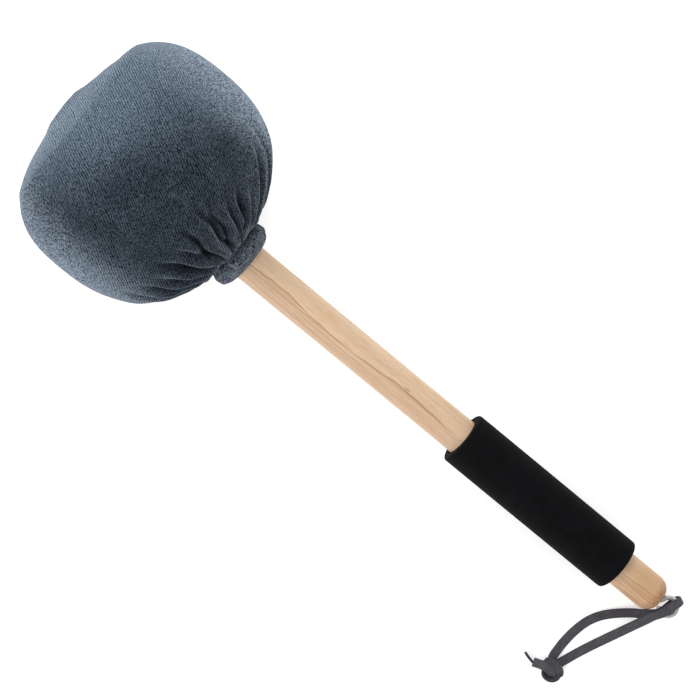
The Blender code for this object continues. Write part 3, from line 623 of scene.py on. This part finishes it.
def make_maple():
    """Maple: plain on one side of a wandering growth line, close-lined on the other."""
    finish = Finish("maple_grain")
    own = finish.on_axis()
    x = finish.parts(own, "X")
    y = finish.parts(own, "Y")
    z = finish.parts(own, "Z")
    jog = finish.noise(finish.join(x * 46.0, 0.0, z * 8.0), 1.0, 2.0, 0.55) - 0.5
    wander = ((x - 0.020) * (2 * math.pi / 0.115)).cosine() * 0.0015 - 0.0016 + jog * 0.0034
    depth = y - wander + (z - HANDLE_RADIUS) * 0.30
    below = finish.between(depth, 0.0006, -0.0009)
    along = finish.noise(finish.join(x * 30.0, y * 90.0, z * 90.0), 1.0, 2.0, 0.5)
    broad = finish.noise(finish.join(x * 10.0, depth * 150.0, 0.0), 1.0, 2.0, 0.5)
    cloud = finish.noise(finish.join(x * 55.0, y * 120.0, z * 120.0), 1.0, 2.0, 0.5)
    plain = finish.mix(finish.between(broad, 0.30, 0.70), rgb(220, 192, 162), rgb(211, 181, 149))
    plain = finish.mix(finish.between(cloud, 0.48, 0.72) * 0.42, plain, rgb(210, 172, 134))
    close = finish.mix(finish.between(broad, 0.30, 0.70), rgb(216, 190, 164), rgb(206, 177, 149))
    wood = finish.mix(below, plain, close)
    straight = y + jog * 0.0008 + (z - HANDLE_RADIUS) * 0.22
    rings = finish.noise(finish.join(straight * 760.0, x * 4.0, 0.0), 1.0, 3.0, 0.65)
    wood = finish.mix(finish.between(rings, 0.53, 0.62) * (below * 0.52 + 0.14), wood, rgb(186, 140, 98))
    fine = finish.noise(finish.join(straight * 2700.0, x * 11.0, z * 60.0), 1.0, 2.0, 0.5)
    wood = finish.mix(finish.between(fine, 0.52, 0.66) * (below * 0.42 + 0.18), wood, rgb(180, 132, 90))
    for level, strength in ((-0.0064, 0.55), (-0.0083, 0.45), (-0.0098, 0.5), (0.0104, 0.45)):
        crisp = finish.between(abs(straight - level), 0.00034, 0.00008) * finish.between(along, 0.30, 0.50)
        wood = finish.mix(crisp * strength, wood, rgb(172, 116, 74))
    line = finish.between(abs(depth), 0.00050, 0.00012) * finish.between(along, 0.26, 0.48)
    wood = finish.mix(line * 0.85, wood, rgb(152, 102, 64))
    fleck = finish.noise(finish.join(x * 120.0, y * 1700.0, z * 1700.0), 1.0, 2.0, 0.6)
    wood = finish.mix(finish.between(fleck, 0.56, 0.66) * 0.42, wood, rgb(184, 138, 100))
    stain = finish.noise(finish.join(x * 60.0, y * 200.0, z * 200.0), 1.0, 2.0, 0.5)
    wood = finish.mix(finish.between(stain, 0.62, 0.78) * 0.30, wood, rgb(212, 160, 110))
    # A short dark mineral streak, natural to the wood
    from_streak = x - STREAK_STATION
    streak_x = from_streak / 0.0026
    streak_y = (y - 0.00124 - from_streak * 0.07) / 0.00026
    streak = finish.between(streak_x * streak_x + streak_y * streak_y, 1.3, 0.5)
    wood = finish.mix(streak * finish.between(z, 0.0, 0.004) * 0.95, wood, rgb(78, 50, 36))
    bare_end = finish.between(x, GRIP_END - 0.004, BUTT_END - 0.016)
    wood = finish.mix(bare_end * 0.50, wood, rgb(190, 144, 98))
    end_lines = finish.noise(finish.join(straight * 1300.0, x * 14.0, z * 40.0), 1.0, 2.0, 0.6)
    lined = finish.between(end_lines, 0.50, 0.62) * bare_end * (below * 0.45 + 0.10)
    wood = finish.mix(lined, wood, rgb(158, 108, 70))
    turned = finish.between(x, BUTT_END - 0.0110, BUTT_END - 0.002)
    pores = finish.noise(finish.join(x * 300.0, y * 900.0, z * 900.0), 1.0, 2.0, 0.6)
    wood = finish.mix(turned * (finish.between(pores, 0.42, 0.60) * 0.60 + 0.34), wood, rgb(142, 94, 58))
    finish.set({"Base Color": wood, "Roughness": finish.between(rings, 0.2, 0.8) * 0.12 + 0.44})
    finish.set({"Specular IOR Level": 0.25, "Coat Weight": 0.06, "Coat Roughness": 0.4})
    finish.bump(fleck * 0.5 + rings * 0.5, 0.10 * MM, 0.4)
    return finish


def make_handle():
    stations = (HANDLE_FRONT, -60.0 * MM, 0.0, 120.0 * MM, 300.0 * MM, BUTT_END - BUTT_ROUND - 2.0 * MM)
    outline = [(HANDLE_FRONT, 0.0)] + [(station, HANDLE_RADIUS) for station in stations]
    steps = 16
    drop = HANDLE_RADIUS - BUTT_FACE
    for step in range(steps + 1):
        angle = math.radians(90 * step / steps)
        along = BUTT_END - BUTT_ROUND + BUTT_ROUND * math.sin(angle)
        outline.append((along, BUTT_FACE + drop * math.cos(angle)))
    outline += [(BUTT_END, 0.5 * BUTT_FACE), (BUTT_END, 0.0)]
    bm = spun(outline, 96)
    bmesh.ops.transform(bm, matrix=AXIS, verts=bm.verts)
    handle = new_piece("handle_turned", mesh_from(bm, "handle_turned"), "mallet", make_maple())
    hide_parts("handle")


# Grip


def make_foam():
    """Black closed-cell foam, matt, with a faint pebble."""
    finish = Finish("grip_foam")
    place = finish.place()
    cells = finish.spots(place, 1300.0)
    cloud = finish.noise(place, 90.0, 3.0, 0.6)
    grain = finish.noise(place, 2000.0, 2.0, 0.6)
    tone = finish.between(cloud * 0.55 + grain * 0.45, 0.35, 0.65)
    finish.set({"Base Color": finish.mix(tone, rgb(3, 3, 5), rgb(11, 11, 15))})
    finish.set({"Roughness": finish.between(cells, 0.1, 0.7) * 0.08 + 0.84, "Specular IOR Level": 0.12})
    finish.bump(cells * 0.6 + grain * 0.4 + cloud * 0.3, 0.22 * MM, 0.7)
    return finish


def make_grip():
    bore = HANDLE_RADIUS + 0.15 * MM
    edge = 1.9 * MM
    outline = [(GRIP_START, bore), (GRIP_START, bore + 2.0 * MM)]
    rise = [math.radians(90 * step / 6) for step in range(7)]
    fall = [math.radians(90 - 90 * step / 6) for step in range(7)]
    shoulder = GRIP_RADIUS - edge
    outline += [(GRIP_START + edge - edge * math.cos(a), shoulder + edge * math.sin(a)) for a in rise]
    outline += [(GRIP_START + 40 * MM, GRIP_RADIUS), (GRIP_END - 40 * MM, GRIP_RADIUS)]
    outline += [(GRIP_END - edge + edge * math.cos(a), shoulder + edge * math.sin(a)) for a in fall]
    outline += [(GRIP_END, bore + 2.0 * MM), (GRIP_END, bore), (GRIP_START, bore)]
    bm = spun(outline, 112)
    bmesh.ops.transform(bm, matrix=AXIS, verts=bm.verts)
    grip = new_piece("grip_foam", mesh_from(bm, "grip_foam"), "mallet", make_foam())
    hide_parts("grip_sleeve")


# Screw eye

SHANK_IN_BUTT = 12.0 * MM


def make_zinc():
    """Plated wire gone dull, uneven in tone, with small dark pits."""
    finish = Finish("dull_zinc")
    place = finish.place()
    cloud = finish.noise(place, 300.0, 3.0, 0.6)
    scuffs = finish.noise(place, 1400.0, 2.0, 0.5)
    pits = finish.between(finish.spots(place, 900.0), 0.22, 0.08)
    body = finish.mix(finish.between(cloud, 0.35, 0.65), rgb(186, 185, 180), rgb(226, 226, 223))
    finish.set({"Base Color": finish.mix(pits * 0.6, body, rgb(104, 100, 94)), "Metallic": 0.75})
    finish.set({"Roughness": finish.between(scuffs, 0.3, 0.7) * 0.2 + 0.34})
    finish.bump(scuffs * 0.7 + cloud * 0.3, 0.08 * MM, 0.6)
    return finish


def make_eye():
    """A ring of wire bent closed, with its shank driven into the butt."""
    points = []
    steps = 60
    start = math.radians(-146)
    end = math.radians(138)
    for step in range(steps + 1):
        angle = start + (end - start) * step / steps
        points.append(Vector((EYE_RADIUS * math.cos(angle), EYE_RADIUS * math.sin(angle), 0.0)))
    leave = Vector((-math.sin(end), math.cos(end), 0.0))
    neck = Vector((BUTT_END - EYE_STATION, 0.0, 0.0))
    pull = 0.36 * EYE_RADIUS
    first = points[-1]
    a, b = first + leave * pull, neck + Vector((pull, 0.0, 0.0))
    for step in range(1, 13):
        t = step / 12
        points.append(
            first * (1 - t) ** 3 + a * 3 * t * (1 - t) ** 2 + b * 3 * t**2 * (1 - t) + neck * t**3
        )
    points.append(neck - Vector((SHANK_IN_BUTT, 0.0, 0.0)))
    curve = bpy.data.curves.new("eye_wire", "CURVE")
    curve.dimensions = "3D"
    curve.bevel_depth = EYE_WIRE_RADIUS
    curve.bevel_resolution = 8
    curve.use_fill_caps = True
    spline = curve.splines.new("POLY")
    spline.points.add(len(points) - 1)
    for item, point in zip(spline.points, points):
        item.co = (*(AXIS @ (point + Vector((EYE_STATION, 0.0, 0.0)))), 1.0)
    spline.use_smooth = True
    curve.materials.append(make_zinc().material)
    eye = bpy.data.objects.new("eye_wire", curve)
    bpy.context.scene.collection.objects.link(eye)
    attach(eye, "mallet")
    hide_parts("screw_eye")


# Head cover

SHOULDER_RADIUS = 31.5 * MM
HEAD_STEPS = 120
SETTLE_FRAMES = 20
SETTLE_PRESSURE = 4.0
SETTLE_CAP = 3.2 * MM
DEEPEST_PUSH = -2.3
FLOOR_REACH = 1.4 * MM
FLOOR_CLEARANCE = 0.15 * MM

GATHERS = [
    # azimuth 20 mm and 60 mm beyond the shoulder, start, end, depth and half width in millimetres
    (12, 16, 0, 66, 2.2, 2.4),
    (27, 30, 2, 74, 3.0, 2.0),
    (45, 38, 2, 66, 3.0, 1.8),
    (59, 54, 6, 40, 1.6, 1.6),
    (69, 62, 9, 52, 4.4, 2.0),
    (76, 72, 2, 52, 5.0, 1.6),
    (81, 77, 8, 36, 1.8, 1.3),
    (86, 81.3, 4, 68, 5.4, 1.7),
    (90.5, 86, 4, 72, 5.4, 1.7),
    (96.6, 93, 4, 48, 3.0, 1.6),
    (103, 98, 4, 70, 5.4, 1.9),
    (103, 113, 22, 54, 3.2, 1.9),
    (116, 121, 2, 64, 5.2, 2.1),
    (127, 133, 4, 50, 3.6, 2.0),
    (140, 141, 2, 58, 4.4, 2.1),
    (155, 151, 2, 66, 4.0, 2.2),
    (169, 167, 2, 56, 3.4, 2.1),
    (184, 183, 0, 62, 3.2, 2.3),
    (199, 202, 3, 44, 4.2, 1.9),
    (214, 211, 2, 60, 4.6, 2.0),
    (229, 231, 5, 42, 3.8, 1.8),
    (246, 243, 2, 66, 5.0, 2.1),
    (261, 263, 4, 46, 4.0, 1.8),
    (274, 272, 5, 38, 3.6, 1.7),
    (290, 287, 2, 64, 5.0, 2.0),
    (305, 308, 3, 44, 4.0, 1.8),
    (321, 320, 2, 58, 4.4, 2.0),
    (339, 343, 3, 46, 3.4, 2.0),
    (355, 357, 1, 60, 3.0, 2.2),
]

OUTLINE_PUSH = [
    # distance from the shoulder, push on the +Y side and on the -Y side in millimetres
    (-4, 3.6, 2.6),
    (2, 3.4, 2.4),
    (8, 2.4, 1.3),
    (16, 1.5, 0.2),
    (30, 1.3, -0.3),
    (45, 1.8, -0.8),
    (60, 1.7, -2.0),
    (85, 1.4, -2.3),
    (110, 1.1, -2.6),
    (146, 1.6, -2.6),
    (158, 1.7, -1.2),
    (166, -0.3, -2.2),
    (174, -2.3, -2.6),
    (190, -2.4, -2.6),
    (200, -1.0, -1.6),
    (208, 1.2, 0.6),
    (221, 1.5, 1.3),
]


def head_outline():
    """(station, radius) points from the middle of the striking face to the foot of the groove."""
    dense = []
    for step in range(400):
        angle = math.radians(90 * (1 - step / 400))
        station = HEAD_WIDEST - HEAD_FRONT_DEPTH * math.sin(angle) ** (2 / HEAD_FRONT_FULLNESS)
        dense.append((station, HEAD_RADIUS * max(math.cos(angle), 0.0) ** (2 / HEAD_FRONT_FULLNESS)))
    for step in range(401):
        angle = math.radians(90 * step / 400)
        station = HEAD_WIDEST + HEAD_REAR_DEPTH * math.sin(angle) ** (2 / HEAD_REAR_FULLNESS)
        radius = HEAD_RADIUS * max(math.cos(angle), 0.0) ** (2 / HEAD_REAR_FULLNESS)
        if radius < SHOULDER_RADIUS:
            break
        dense.append((station, radius))
    body = even_points(dense, 0.0, -66.0 * MM, 30)
    near_neck = even_points(dense, -66.0 * MM, None, 29)
    hang = [(-1.2, -2.5), (-0.2, -5.0), (0.2, -7.3), (-0.1, -9.4), (-1.4, -11.3), (-3.6, -12.0)]
    shoulder = dense[-1][0] + 1.5 * MM
    under = [(shoulder + x * MM + 1.2 * MM, SHOULDER_RADIUS + r * MM) for x, r in hang]
    under += [(GROOVE_START - 0.6 * MM, GROOVE_RADIUS + 2.4 * MM), (GROOVE_START, GROOVE_RADIUS + 0.2 * MM)]
    return body + near_neck[1:] + under + [(GROOVE_END, GROOVE_RADIUS)]


def even_points(points, start, end, count):
    """Evenly spaced points of a line between two distances, the last ones counted back from its end."""
    line = np.array(points)
    travelled = np.concatenate([[0.0], np.cumsum(np.linalg.norm(np.diff(line, axis=0), axis=1))])
    low = start if start >= 0 else travelled[-1] + start
    high = travelled[-1] if end is None else travelled[-1] + end
    places = np.linspace(low, high, count)
    stations = np.interp(places, travelled, line[:, 0])
    radii = np.interp(places, travelled, line[:, 1])
    return list(zip(stations.tolist(), radii.tolist()))


def eased(value, low, high):
    share = np.clip((value - low) / (high - low), 0.0, 1.0)
    return share * share * (3 - 2 * share)


def points_of(mesh):
    points = np.empty(len(mesh.vertices) * 3)
    mesh.vertices.foreach_get("co", points)
    return points.reshape(-1, 3)


def lumps(points, scale, shift):
    return np.array([noise.noise(Vector(point) * scale + Vector(shift)) for point in points])


def settle(piece):
    """The cover swells over its padding under a light pressure, tied fast at the neck."""
    mesh = piece.data
    before = points_of(mesh)
    radius = np.hypot(before[:, 1], before[:, 2])
    tied = np.nonzero((before[:, 0] > -60.0 * MM) & (radius < SHOULDER_RADIUS + 2.0 * MM))[0]
    group = piece.vertex_groups.new(name="tied")
    group.add(tied.tolist(), 1.0, "REPLACE")
    cloth = piece.modifiers.new("settle", "CLOTH")
    settings = cloth.settings
    settings.quality = 6
    settings.use_pressure = True
    settings.uniform_pressure_force = SETTLE_PRESSURE
    settings.effector_weights.gravity = 0.0
    settings.vertex_group_mass = group.name
    cloth.collision_settings.use_collision = False
    cloth.point_cache.frame_start = 1
    cloth.point_cache.frame_end = SETTLE_FRAMES
    for frame_number in range(1, SETTLE_FRAMES + 1):
        bpy.context.scene.frame_set(frame_number)
    settled = piece.evaluated_get(bpy.context.evaluated_depsgraph_get())
    after = points_of(settled.data)
    move = after - before
    length = np.linalg.norm(move, axis=1)
    allowed = np.minimum(1.0, SETTLE_CAP / np.maximum(length, 1e-9))
    mesh.vertices.foreach_set("co", (before + move * allowed[:, None]).ravel())
    piece.modifiers.remove(cloth)
    piece.vertex_groups.remove(group)
    bpy.context.scene.frame_set(1)


def refine(piece):
    """Two rounds of subdivision, kept in the mesh."""
    finer = piece.modifiers.new("finer", "SUBSURF")
    finer.levels = 2
    finer.render_levels = 2
    mesh = bpy.data.meshes.new_from_object(piece.evaluated_get(bpy.context.evaluated_depsgraph_get()))
    mesh.name = piece.name
    piece.modifiers.remove(finer)
    piece.data = mesh


def gather(azimuth, radius, beyond):
    """Push of each point by the gathers: valleys drawn in and soft folds between them, in millimetres."""
    push = np.zeros(len(azimuth))
    for near, far, start, end, depth, half_width in GATHERS:
        share = np.clip((beyond - 20.0) / 40.0, -0.7, 1.4)
        line = np.radians(near + (far - near) * share) + 0.012 * np.sin(beyond * 0.21 + near)
        turn = (azimuth - line + math.pi) % (2 * math.pi) - math.pi
        aside = np.abs(turn) * radius / MM
        strength = eased(beyond, start - 6.0, start + 7.0)
        strength *= 1 - eased(beyond, start + 0.4 * (end - start), end)
        wide = half_width * (0.85 + 0.012 * np.clip(beyond, 0.0, 60.0))
        push -= depth * strength * np.exp(-((aside / wide) ** 2))
        push += 0.34 * depth * strength * np.exp(-(((aside - 2.3 * wide) / (1.4 * wide)) ** 2))
    return push


def beside_outline(stations, radii, outline):
    """How far each point is beyond the shoulder, in millimetres, and the way out from the outline there."""
    line = np.array(outline)
    marks = np.linspace(0, len(line) - 1, 1200)
    fine = np.stack([np.interp(marks, np.arange(len(line)), column) for column in line.T], axis=1)
    travelled = np.concatenate([[0.0], np.cumsum(np.linalg.norm(np.diff(fine, axis=0), axis=1))])
    near = [np.argmin((fine[:, 0] - x) ** 2 + (fine[:, 1] - r) ** 2) for x, r in zip(stations, radii)]
    nearest = np.array(near)
    on_body = np.nonzero(fine[:, 1] >= SHOULDER_RADIUS - 0.01 * MM)[0]
    beyond = (travelled[on_body[-1]] - travelled[nearest]) / MM
    smoothing = np.ones(31) / 31
    padded = np.pad(np.gradient(fine, axis=0), ((15, 15), (0, 0)), mode="edge")
    tangents = np.stack([np.convolve(padded[:, k], smoothing, mode="valid") for k in (0, 1)], axis=1)
    tangents /= np.linalg.norm(tangents, axis=1)[:, None]
    return beyond, -tangents[nearest, 1], tangents[nearest, 0]


def shape_head(mesh, outline):
    """Gathers, soft bulges, the measured outline and the lobes at the hang, as moves of points."""
    points = points_of(mesh)
    radius = np.hypot(points[:, 1], points[:, 2])
    azimuth = np.arctan2(points[:, 2], points[:, 1])
    beyond, normal_x, normal_r = beside_outline(points[:, 0], radius, outline)
    gathered = gather(azimuth, radius, beyond)
    folds = gathered.copy()
    clear = eased(beyond, 12.0, 48.0) * (1.0 - 0.75 * np.abs(np.cos(azimuth)) ** 6)
    bulges = lumps(points, 20.0, (3.1, 0.0, 7.7)) * 1.9 + lumps(points, 58.0, (9.0, 4.0, 1.0)) * 0.4
    folds += bulges * clear
    places, upper, lower = np.array(OUTLINE_PUSH, float).T
    share = 0.5 + 0.5 * np.cos(azimuth)
    folds += np.interp(beyond, places, upper) * share + np.interp(beyond, places, lower) * (1.0 - share)
    top = np.maximum(np.sin(azimuth), 0.0) ** 0.7
    folds += 2.6 * top * eased(beyond, -8.0, -2.0) * (1 - eased(beyond, 20.0, 62.0))
    dent_x = (points[:, 0] + 81.0 * MM + 0.25 * (points[:, 1] + 49.0 * MM)) / (13.0 * MM)
    dent_y = (points[:, 1] + 49.0 * MM) / (7.0 * MM)
    folds -= 3.0 * np.exp(-(dent_x**2) - dent_y**2) * (points[:, 2] > 0)
    folds = DEEPEST_PUSH + 0.4 * np.logaddexp(0.0, (folds - DEEPEST_PUSH) / 0.4)
    hang = 1 - eased(beyond, -3.0, 7.0)
    lobes = lumps(np.stack([np.cos(azimuth), np.sin(azimuth), 0.0 * azimuth], axis=1), 3.4, (5.0, 2.0, 8.0))
    points[:, 0] += hang * eased(radius, 19.0 * MM, 24.0 * MM) * (0.5 + 2.6 * lobes) * MM
    push = folds * MM
    points[:, 0] += push * normal_x
    points[:, 1] += push * normal_r * np.cos(azimuth)
    points[:, 2] += push * normal_r * np.sin(azimuth)
    # The depth of the gathers, kept as a mask for painted shade in their creases.
    shade = mesh.attributes.new("fold", "FLOAT", "POINT")
    shade.data.foreach_set("value", np.clip(-gathered, 0.0, 4.4) / 4.4)
    mesh.vertices.foreach_set("co", points.ravel())


def rest_on_floor(mesh):
    """Points near the floor or under it are eased flat just over it."""
    points = points_of(mesh)
    low = points[:, 2] < FLOOR_REACH
    room = FLOOR_REACH - FLOOR_CLEARANCE
    points[low, 2] = FLOOR_CLEARANCE + room * np.exp((points[low, 2] - FLOOR_REACH) / room)
    mesh.vertices.foreach_set("co", points.ravel())


def make_plush():
    """Short blue-grey pile, with painted shade towards the neck and in the gathers, and a painted sheen
    that makes it paler at the sides.

    It lies in knitted rows, which give way to a speckle where they would face outwards.
    """
    finish = Finish("head_plush")
    place = finish.place()
    own = finish.on_axis()
    turned = finish.mapping(own, (0.0, 0.0, math.radians(-153)))
    u, v, w = (finish.parts(turned, axis) for axis in "XYZ")
    bend = finish.noise(place, 30.0, 2.0, 0.5)
    rows = (v * (2 * math.pi / 0.0015) + bend * 24.0).sine() * 0.5 + 0.5
    grain = finish.join(u * 560.0 + bend * 2.0, v * 1500.0 + bend * 5.0, w * 1500.0)
    dashes = finish.noise(grain, 1.0, 2.0, 0.5)
    tufts = finish.noise(place, 1000.0, 2.0, 0.6)
    level = finish.between(abs(v - 0.042), 0.040, 0.066)
    dots = finish.noise(place, 900.0, 2.0, 0.5)
    rows = rows * (1.0 - level) + level * 0.5
    dashes = dashes * (1.0 - level) + dots * level
    patch = finish.noise(place, 70.0, 3.0, 0.6)
    # A low noise, used only to wobble the edge of the painted shade towards the neck.
    nap = finish.noise(place, 17.0, 2.0, 0.5)
    tone = rows * 0.11 + dashes * 0.57 + tufts * 0.32
    y = finish.parts(own, "Y")
    # Painted shade grades along this slanted station, darker towards the neck.
    neck_shade_slant = finish.parts(own, "X") - y * 0.45
    # Painted sheen: the sides of the head are made paler, and the painted neck shade is eased there.
    painted_side_sheen = finish.between(abs(y), 0.046, 0.082)
    painted_neck_shade = finish.between(neck_shade_slant + (nap - 0.5) * 0.06, -0.156, -0.086) * (1.0 - painted_side_sheen * 0.8)
    fold = finish.attribute("fold")
    tips = finish.between(tone, 0.38, 0.63)
    # Share of the sheen shader: less towards the neck and almost none in the creases, as painted shade.
    lit = tips * (1.0 - painted_neck_shade * 0.12) * (1.0 - fold * 0.9)
    # Painted shade: the tips darken towards the neck.
    high = finish.mix(painted_neck_shade, rgb(118, 133, 148), rgb(62, 73, 85))
    high = finish.mix(finish.between(patch, 0.38, 0.68) * 0.18, high, rgb(122, 136, 150))
    # Painted sheen: the tips are paler at the sides of the head.
    high = finish.mix(painted_side_sheen * 0.75, high, rgb(156, 170, 184))
    # Painted shade: the gaps between the tufts darken towards the neck.
    deep = finish.mix(painted_neck_shade, rgb(46, 58, 71), rgb(8, 13, 19))
    # Painted shade: the gaps turn nearly black in the creases of the gathers.
    deep = finish.mix(fold, deep, rgb(2, 4, 7))
    finish.set({"Base Color": high, "Roughness": 0.95, "Specular IOR Level": 0.05})
    finish.set({"Sheen Weight": 1.0, "Sheen Roughness": 0.42, "Sheen Tint": rgb(190, 203, 216)})
    normal = finish.bump(rows * 0.2 + dashes * 0.5 + tufts * 0.3, 1.0 * MM, 0.85)
    gap = {"Base Color": deep, "Roughness": 0.95, "Specular IOR Level": 0.03, "Normal": normal}
    gap.update({"Sheen Weight": 0.22, "Sheen Roughness": 0.3, "Sheen Tint": rgb(150, 170, 190)})
    finish.under(1.0 - lit, gap)
    return finish


def make_head():
    outline = head_outline()
    mesh = mesh_from(spun(outline, HEAD_STEPS), "head_cover")
    head = new_piece("head_cover", mesh, "mallet")
    settle(head)
    refine(head)
    shape_head(head.data, outline)
    head.data.transform(AXIS)
    rest_on_floor(head.data)
    dress(head.data, make_plush())
    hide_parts("cover")


# Neck tie

TIE_RADIUS = 17.9 * MM
TIE_CORD = 1.6 * MM
TIE_PITCH = 2.0 * MM


def make_tie_cord():
    """Dark waxed cord with fine slanted strands."""
    finish = Finish("waxed_tie")
    place = finish.place()
    lay = (finish.parts(place, "X") * 2600.0 + finish.parts(place, "Y") * 1900.0).sine() * 0.5 + 0.5
    fibre = finish.noise(place, 2400.0, 2.0, 0.6)
    tone = finish.between(lay * 0.5 + fibre * 0.5, 0.3, 0.7)
    finish.set({"Base Color": finish.mix(tone, rgb(20, 22, 26), rgb(46, 49, 56))})
    finish.set({"Roughness": 0.55, "Specular IOR Level": 0.4})
    finish.bump(lay * 0.6 + fibre * 0.4, 0.15 * MM, 0.6)
    return finish


def make_tie():
    """Two turns of waxed cord round the gathered neck."""
    bm = bmesh.new()
    section = bmesh.ops.create_circle(bm, cap_ends=True, segments=12, radius=0.5 * TIE_CORD)
    first = GROOVE_END - 0.4 * MM - 0.5 * TIE_CORD - 2.0 * TIE_PITCH
    bmesh.ops.translate(bm, verts=section["verts"], vec=(first, TIE_RADIUS, 0.0))
    bmesh.ops.spin(
        bm,
        geom=bm.verts[:] + bm.edges[:] + bm.faces[:],
        cent=(0, 0, 0),
        axis=(1, 0, 0),
        dvec=(2.0 * TIE_PITCH / 144, 0.0, 0.0),
        angle=4 * math.pi,
        steps=144,
        use_merge=False,
        use_duplicate=False,
    )
    bmesh.ops.remove_doubles(bm, verts=bm.verts, dist=0.000005)
    bmesh.ops.recalc_face_normals(bm, faces=bm.faces)
    bmesh.ops.transform(bm, matrix=AXIS, verts=bm.verts)
    tie = new_piece("tie_turns", mesh_from(bm, "tie_turns"), "mallet", make_tie_cord())
    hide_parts("neck_tie")


# Rolled collar


def make_curl():
    """The looped back of the cloth, turned outwards."""
    finish = Finish("collar_curl")
    place = finish.place()
    loops = finish.noise(place, 620.0, 2.0, 0.6, 1.6)
    ridge = finish.between(abs(loops - 0.5), 0.085, 0.015)
    holes = finish.spots(place, 720.0)
    fuzz = finish.noise(place, 1500.0, 2.0, 0.6)
    cloud = finish.noise(place, 130.0, 2.0, 0.5)
    x = finish.parts(finish.on_axis(), "X")
    tone = ridge * 0.40 + fuzz * 0.34 + cloud * 0.14 + holes * 0.12
    # Painted shade: the curl is darker towards the head, where the roll meets the gathered cover.
    painted_head_shade = finish.between(x, -0.0075, GROOVE_END + 0.001)
    lit = finish.between(tone, 0.30, 0.60) * (1.0 - painted_head_shade * 0.6)
    finish.set({"Base Color": rgb(142, 154, 167), "Roughness": 0.97, "Specular IOR Level": 0.05})
    finish.set({"Sheen Weight": 0.7, "Sheen Roughness": 0.4, "Sheen Tint": rgb(190, 203, 216)})
    normal = finish.bump(ridge * 0.5 + fuzz * 0.3 - holes * 0.2, 1.0 * MM, 0.9)
    gap = {"Base Color": rgb(12, 17, 24), "Roughness": 0.97, "Specular IOR Level": 0.03, "Normal": normal}
    finish.under(1.0 - lit, gap)
    return finish


COLLAR_ROLL = 22.4 * MM


def make_collar():
    """The edge of the cover, turned back over the tie as a soft uneven roll."""
    half = -0.5 * GROOVE_END
    low = HANDLE_RADIUS + 0.2 * MM
    middle = COLLAR_ROLL - half
    outline = []
    steps = 44
    for step in range(steps + 1):
        angle = 2 * math.pi * (step % steps) / steps
        outline.append((-half + half * math.cos(angle), max(middle + half * math.sin(angle), low)))
    bm = spun(outline, 220)
    for vert in bm.verts:
        radius = math.hypot(vert.co.y, vert.co.z)
        azimuth = math.atan2(vert.co.z, vert.co.y)
        out = min(max((radius - 15.0 * MM) / (6.0 * MM), 0.0), 1.0)
        around = Vector((math.cos(azimuth), math.sin(azimuth), vert.co.x * 46.0))
        swell = 1.0 + out * (0.11 * noise.noise(around * 2.3) + 0.045 * noise.noise(vert.co * 260.0))
        swell += out * 0.022 * noise.noise(vert.co * 800.0)
        vert.co.y *= swell
        vert.co.z *= swell
        about = Vector((2.0 * math.cos(azimuth), 2.0 * math.sin(azimuth), radius * 40.0))
        vert.co.x += out * 0.9 * MM * noise.noise(about)
    bmesh.ops.transform(bm, matrix=AXIS, verts=bm.verts)
    collar = new_piece("collar_roll", mesh_from(bm, "collar_roll"), "mallet", make_curl())


# Inner pieces keep their own shape


def plain_finish(name, first, second, scale, roughness, metallic):
    finish = Finish(name)
    grain = finish.noise(finish.place(), scale, 3.0, 0.6)
    finish.set({"Base Color": finish.mix(finish.between(grain, 0.3, 0.7), first, second)})
    finish.set({"Roughness": roughness, "Metallic": metallic})
    finish.bump(grain, 0.3 * MM, 0.5)
    return finish


# node: name, two colours, scale of the grain, roughness, metallic
INNER = {
    "head_core": ("core_wood", rgb(205, 178, 138), rgb(188, 158, 116), 160.0, 0.7, 0.0),
    "core_washer": ("core_steel", rgb(150, 150, 150), rgb(175, 175, 175), 500.0, 0.35, 1.0),
    "core_screw": ("screw_steel", rgb(150, 148, 140), rgb(180, 178, 170), 500.0, 0.35, 1.0),
    "felt_wrap": ("felt_strip", rgb(180, 172, 158), rgb(150, 142, 128), 420.0, 0.95, 0.0),
    "front_pad": ("front_wadding", rgb(232, 230, 224), rgb(214, 212, 206), 260.0, 0.95, 0.0),
    "rear_pad": ("rear_wadding", rgb(232, 230, 224), rgb(214, 212, 206), 260.0, 0.95, 0.0),
    "padding": ("head_wadding", rgb(236, 234, 228), rgb(218, 216, 210), 260.0, 0.95, 0.0),
}


def finish_inner_pieces():
    for node, values in INNER.items():
        finish = plain_finish(*values)
        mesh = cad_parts[node].data
        for index in range(len(mesh.materials)):
            mesh.materials[index] = finish.material


make_handle()
make_grip()
make_eye()
make_head()
make_tie()
make_collar()
finish_inner_pieces()
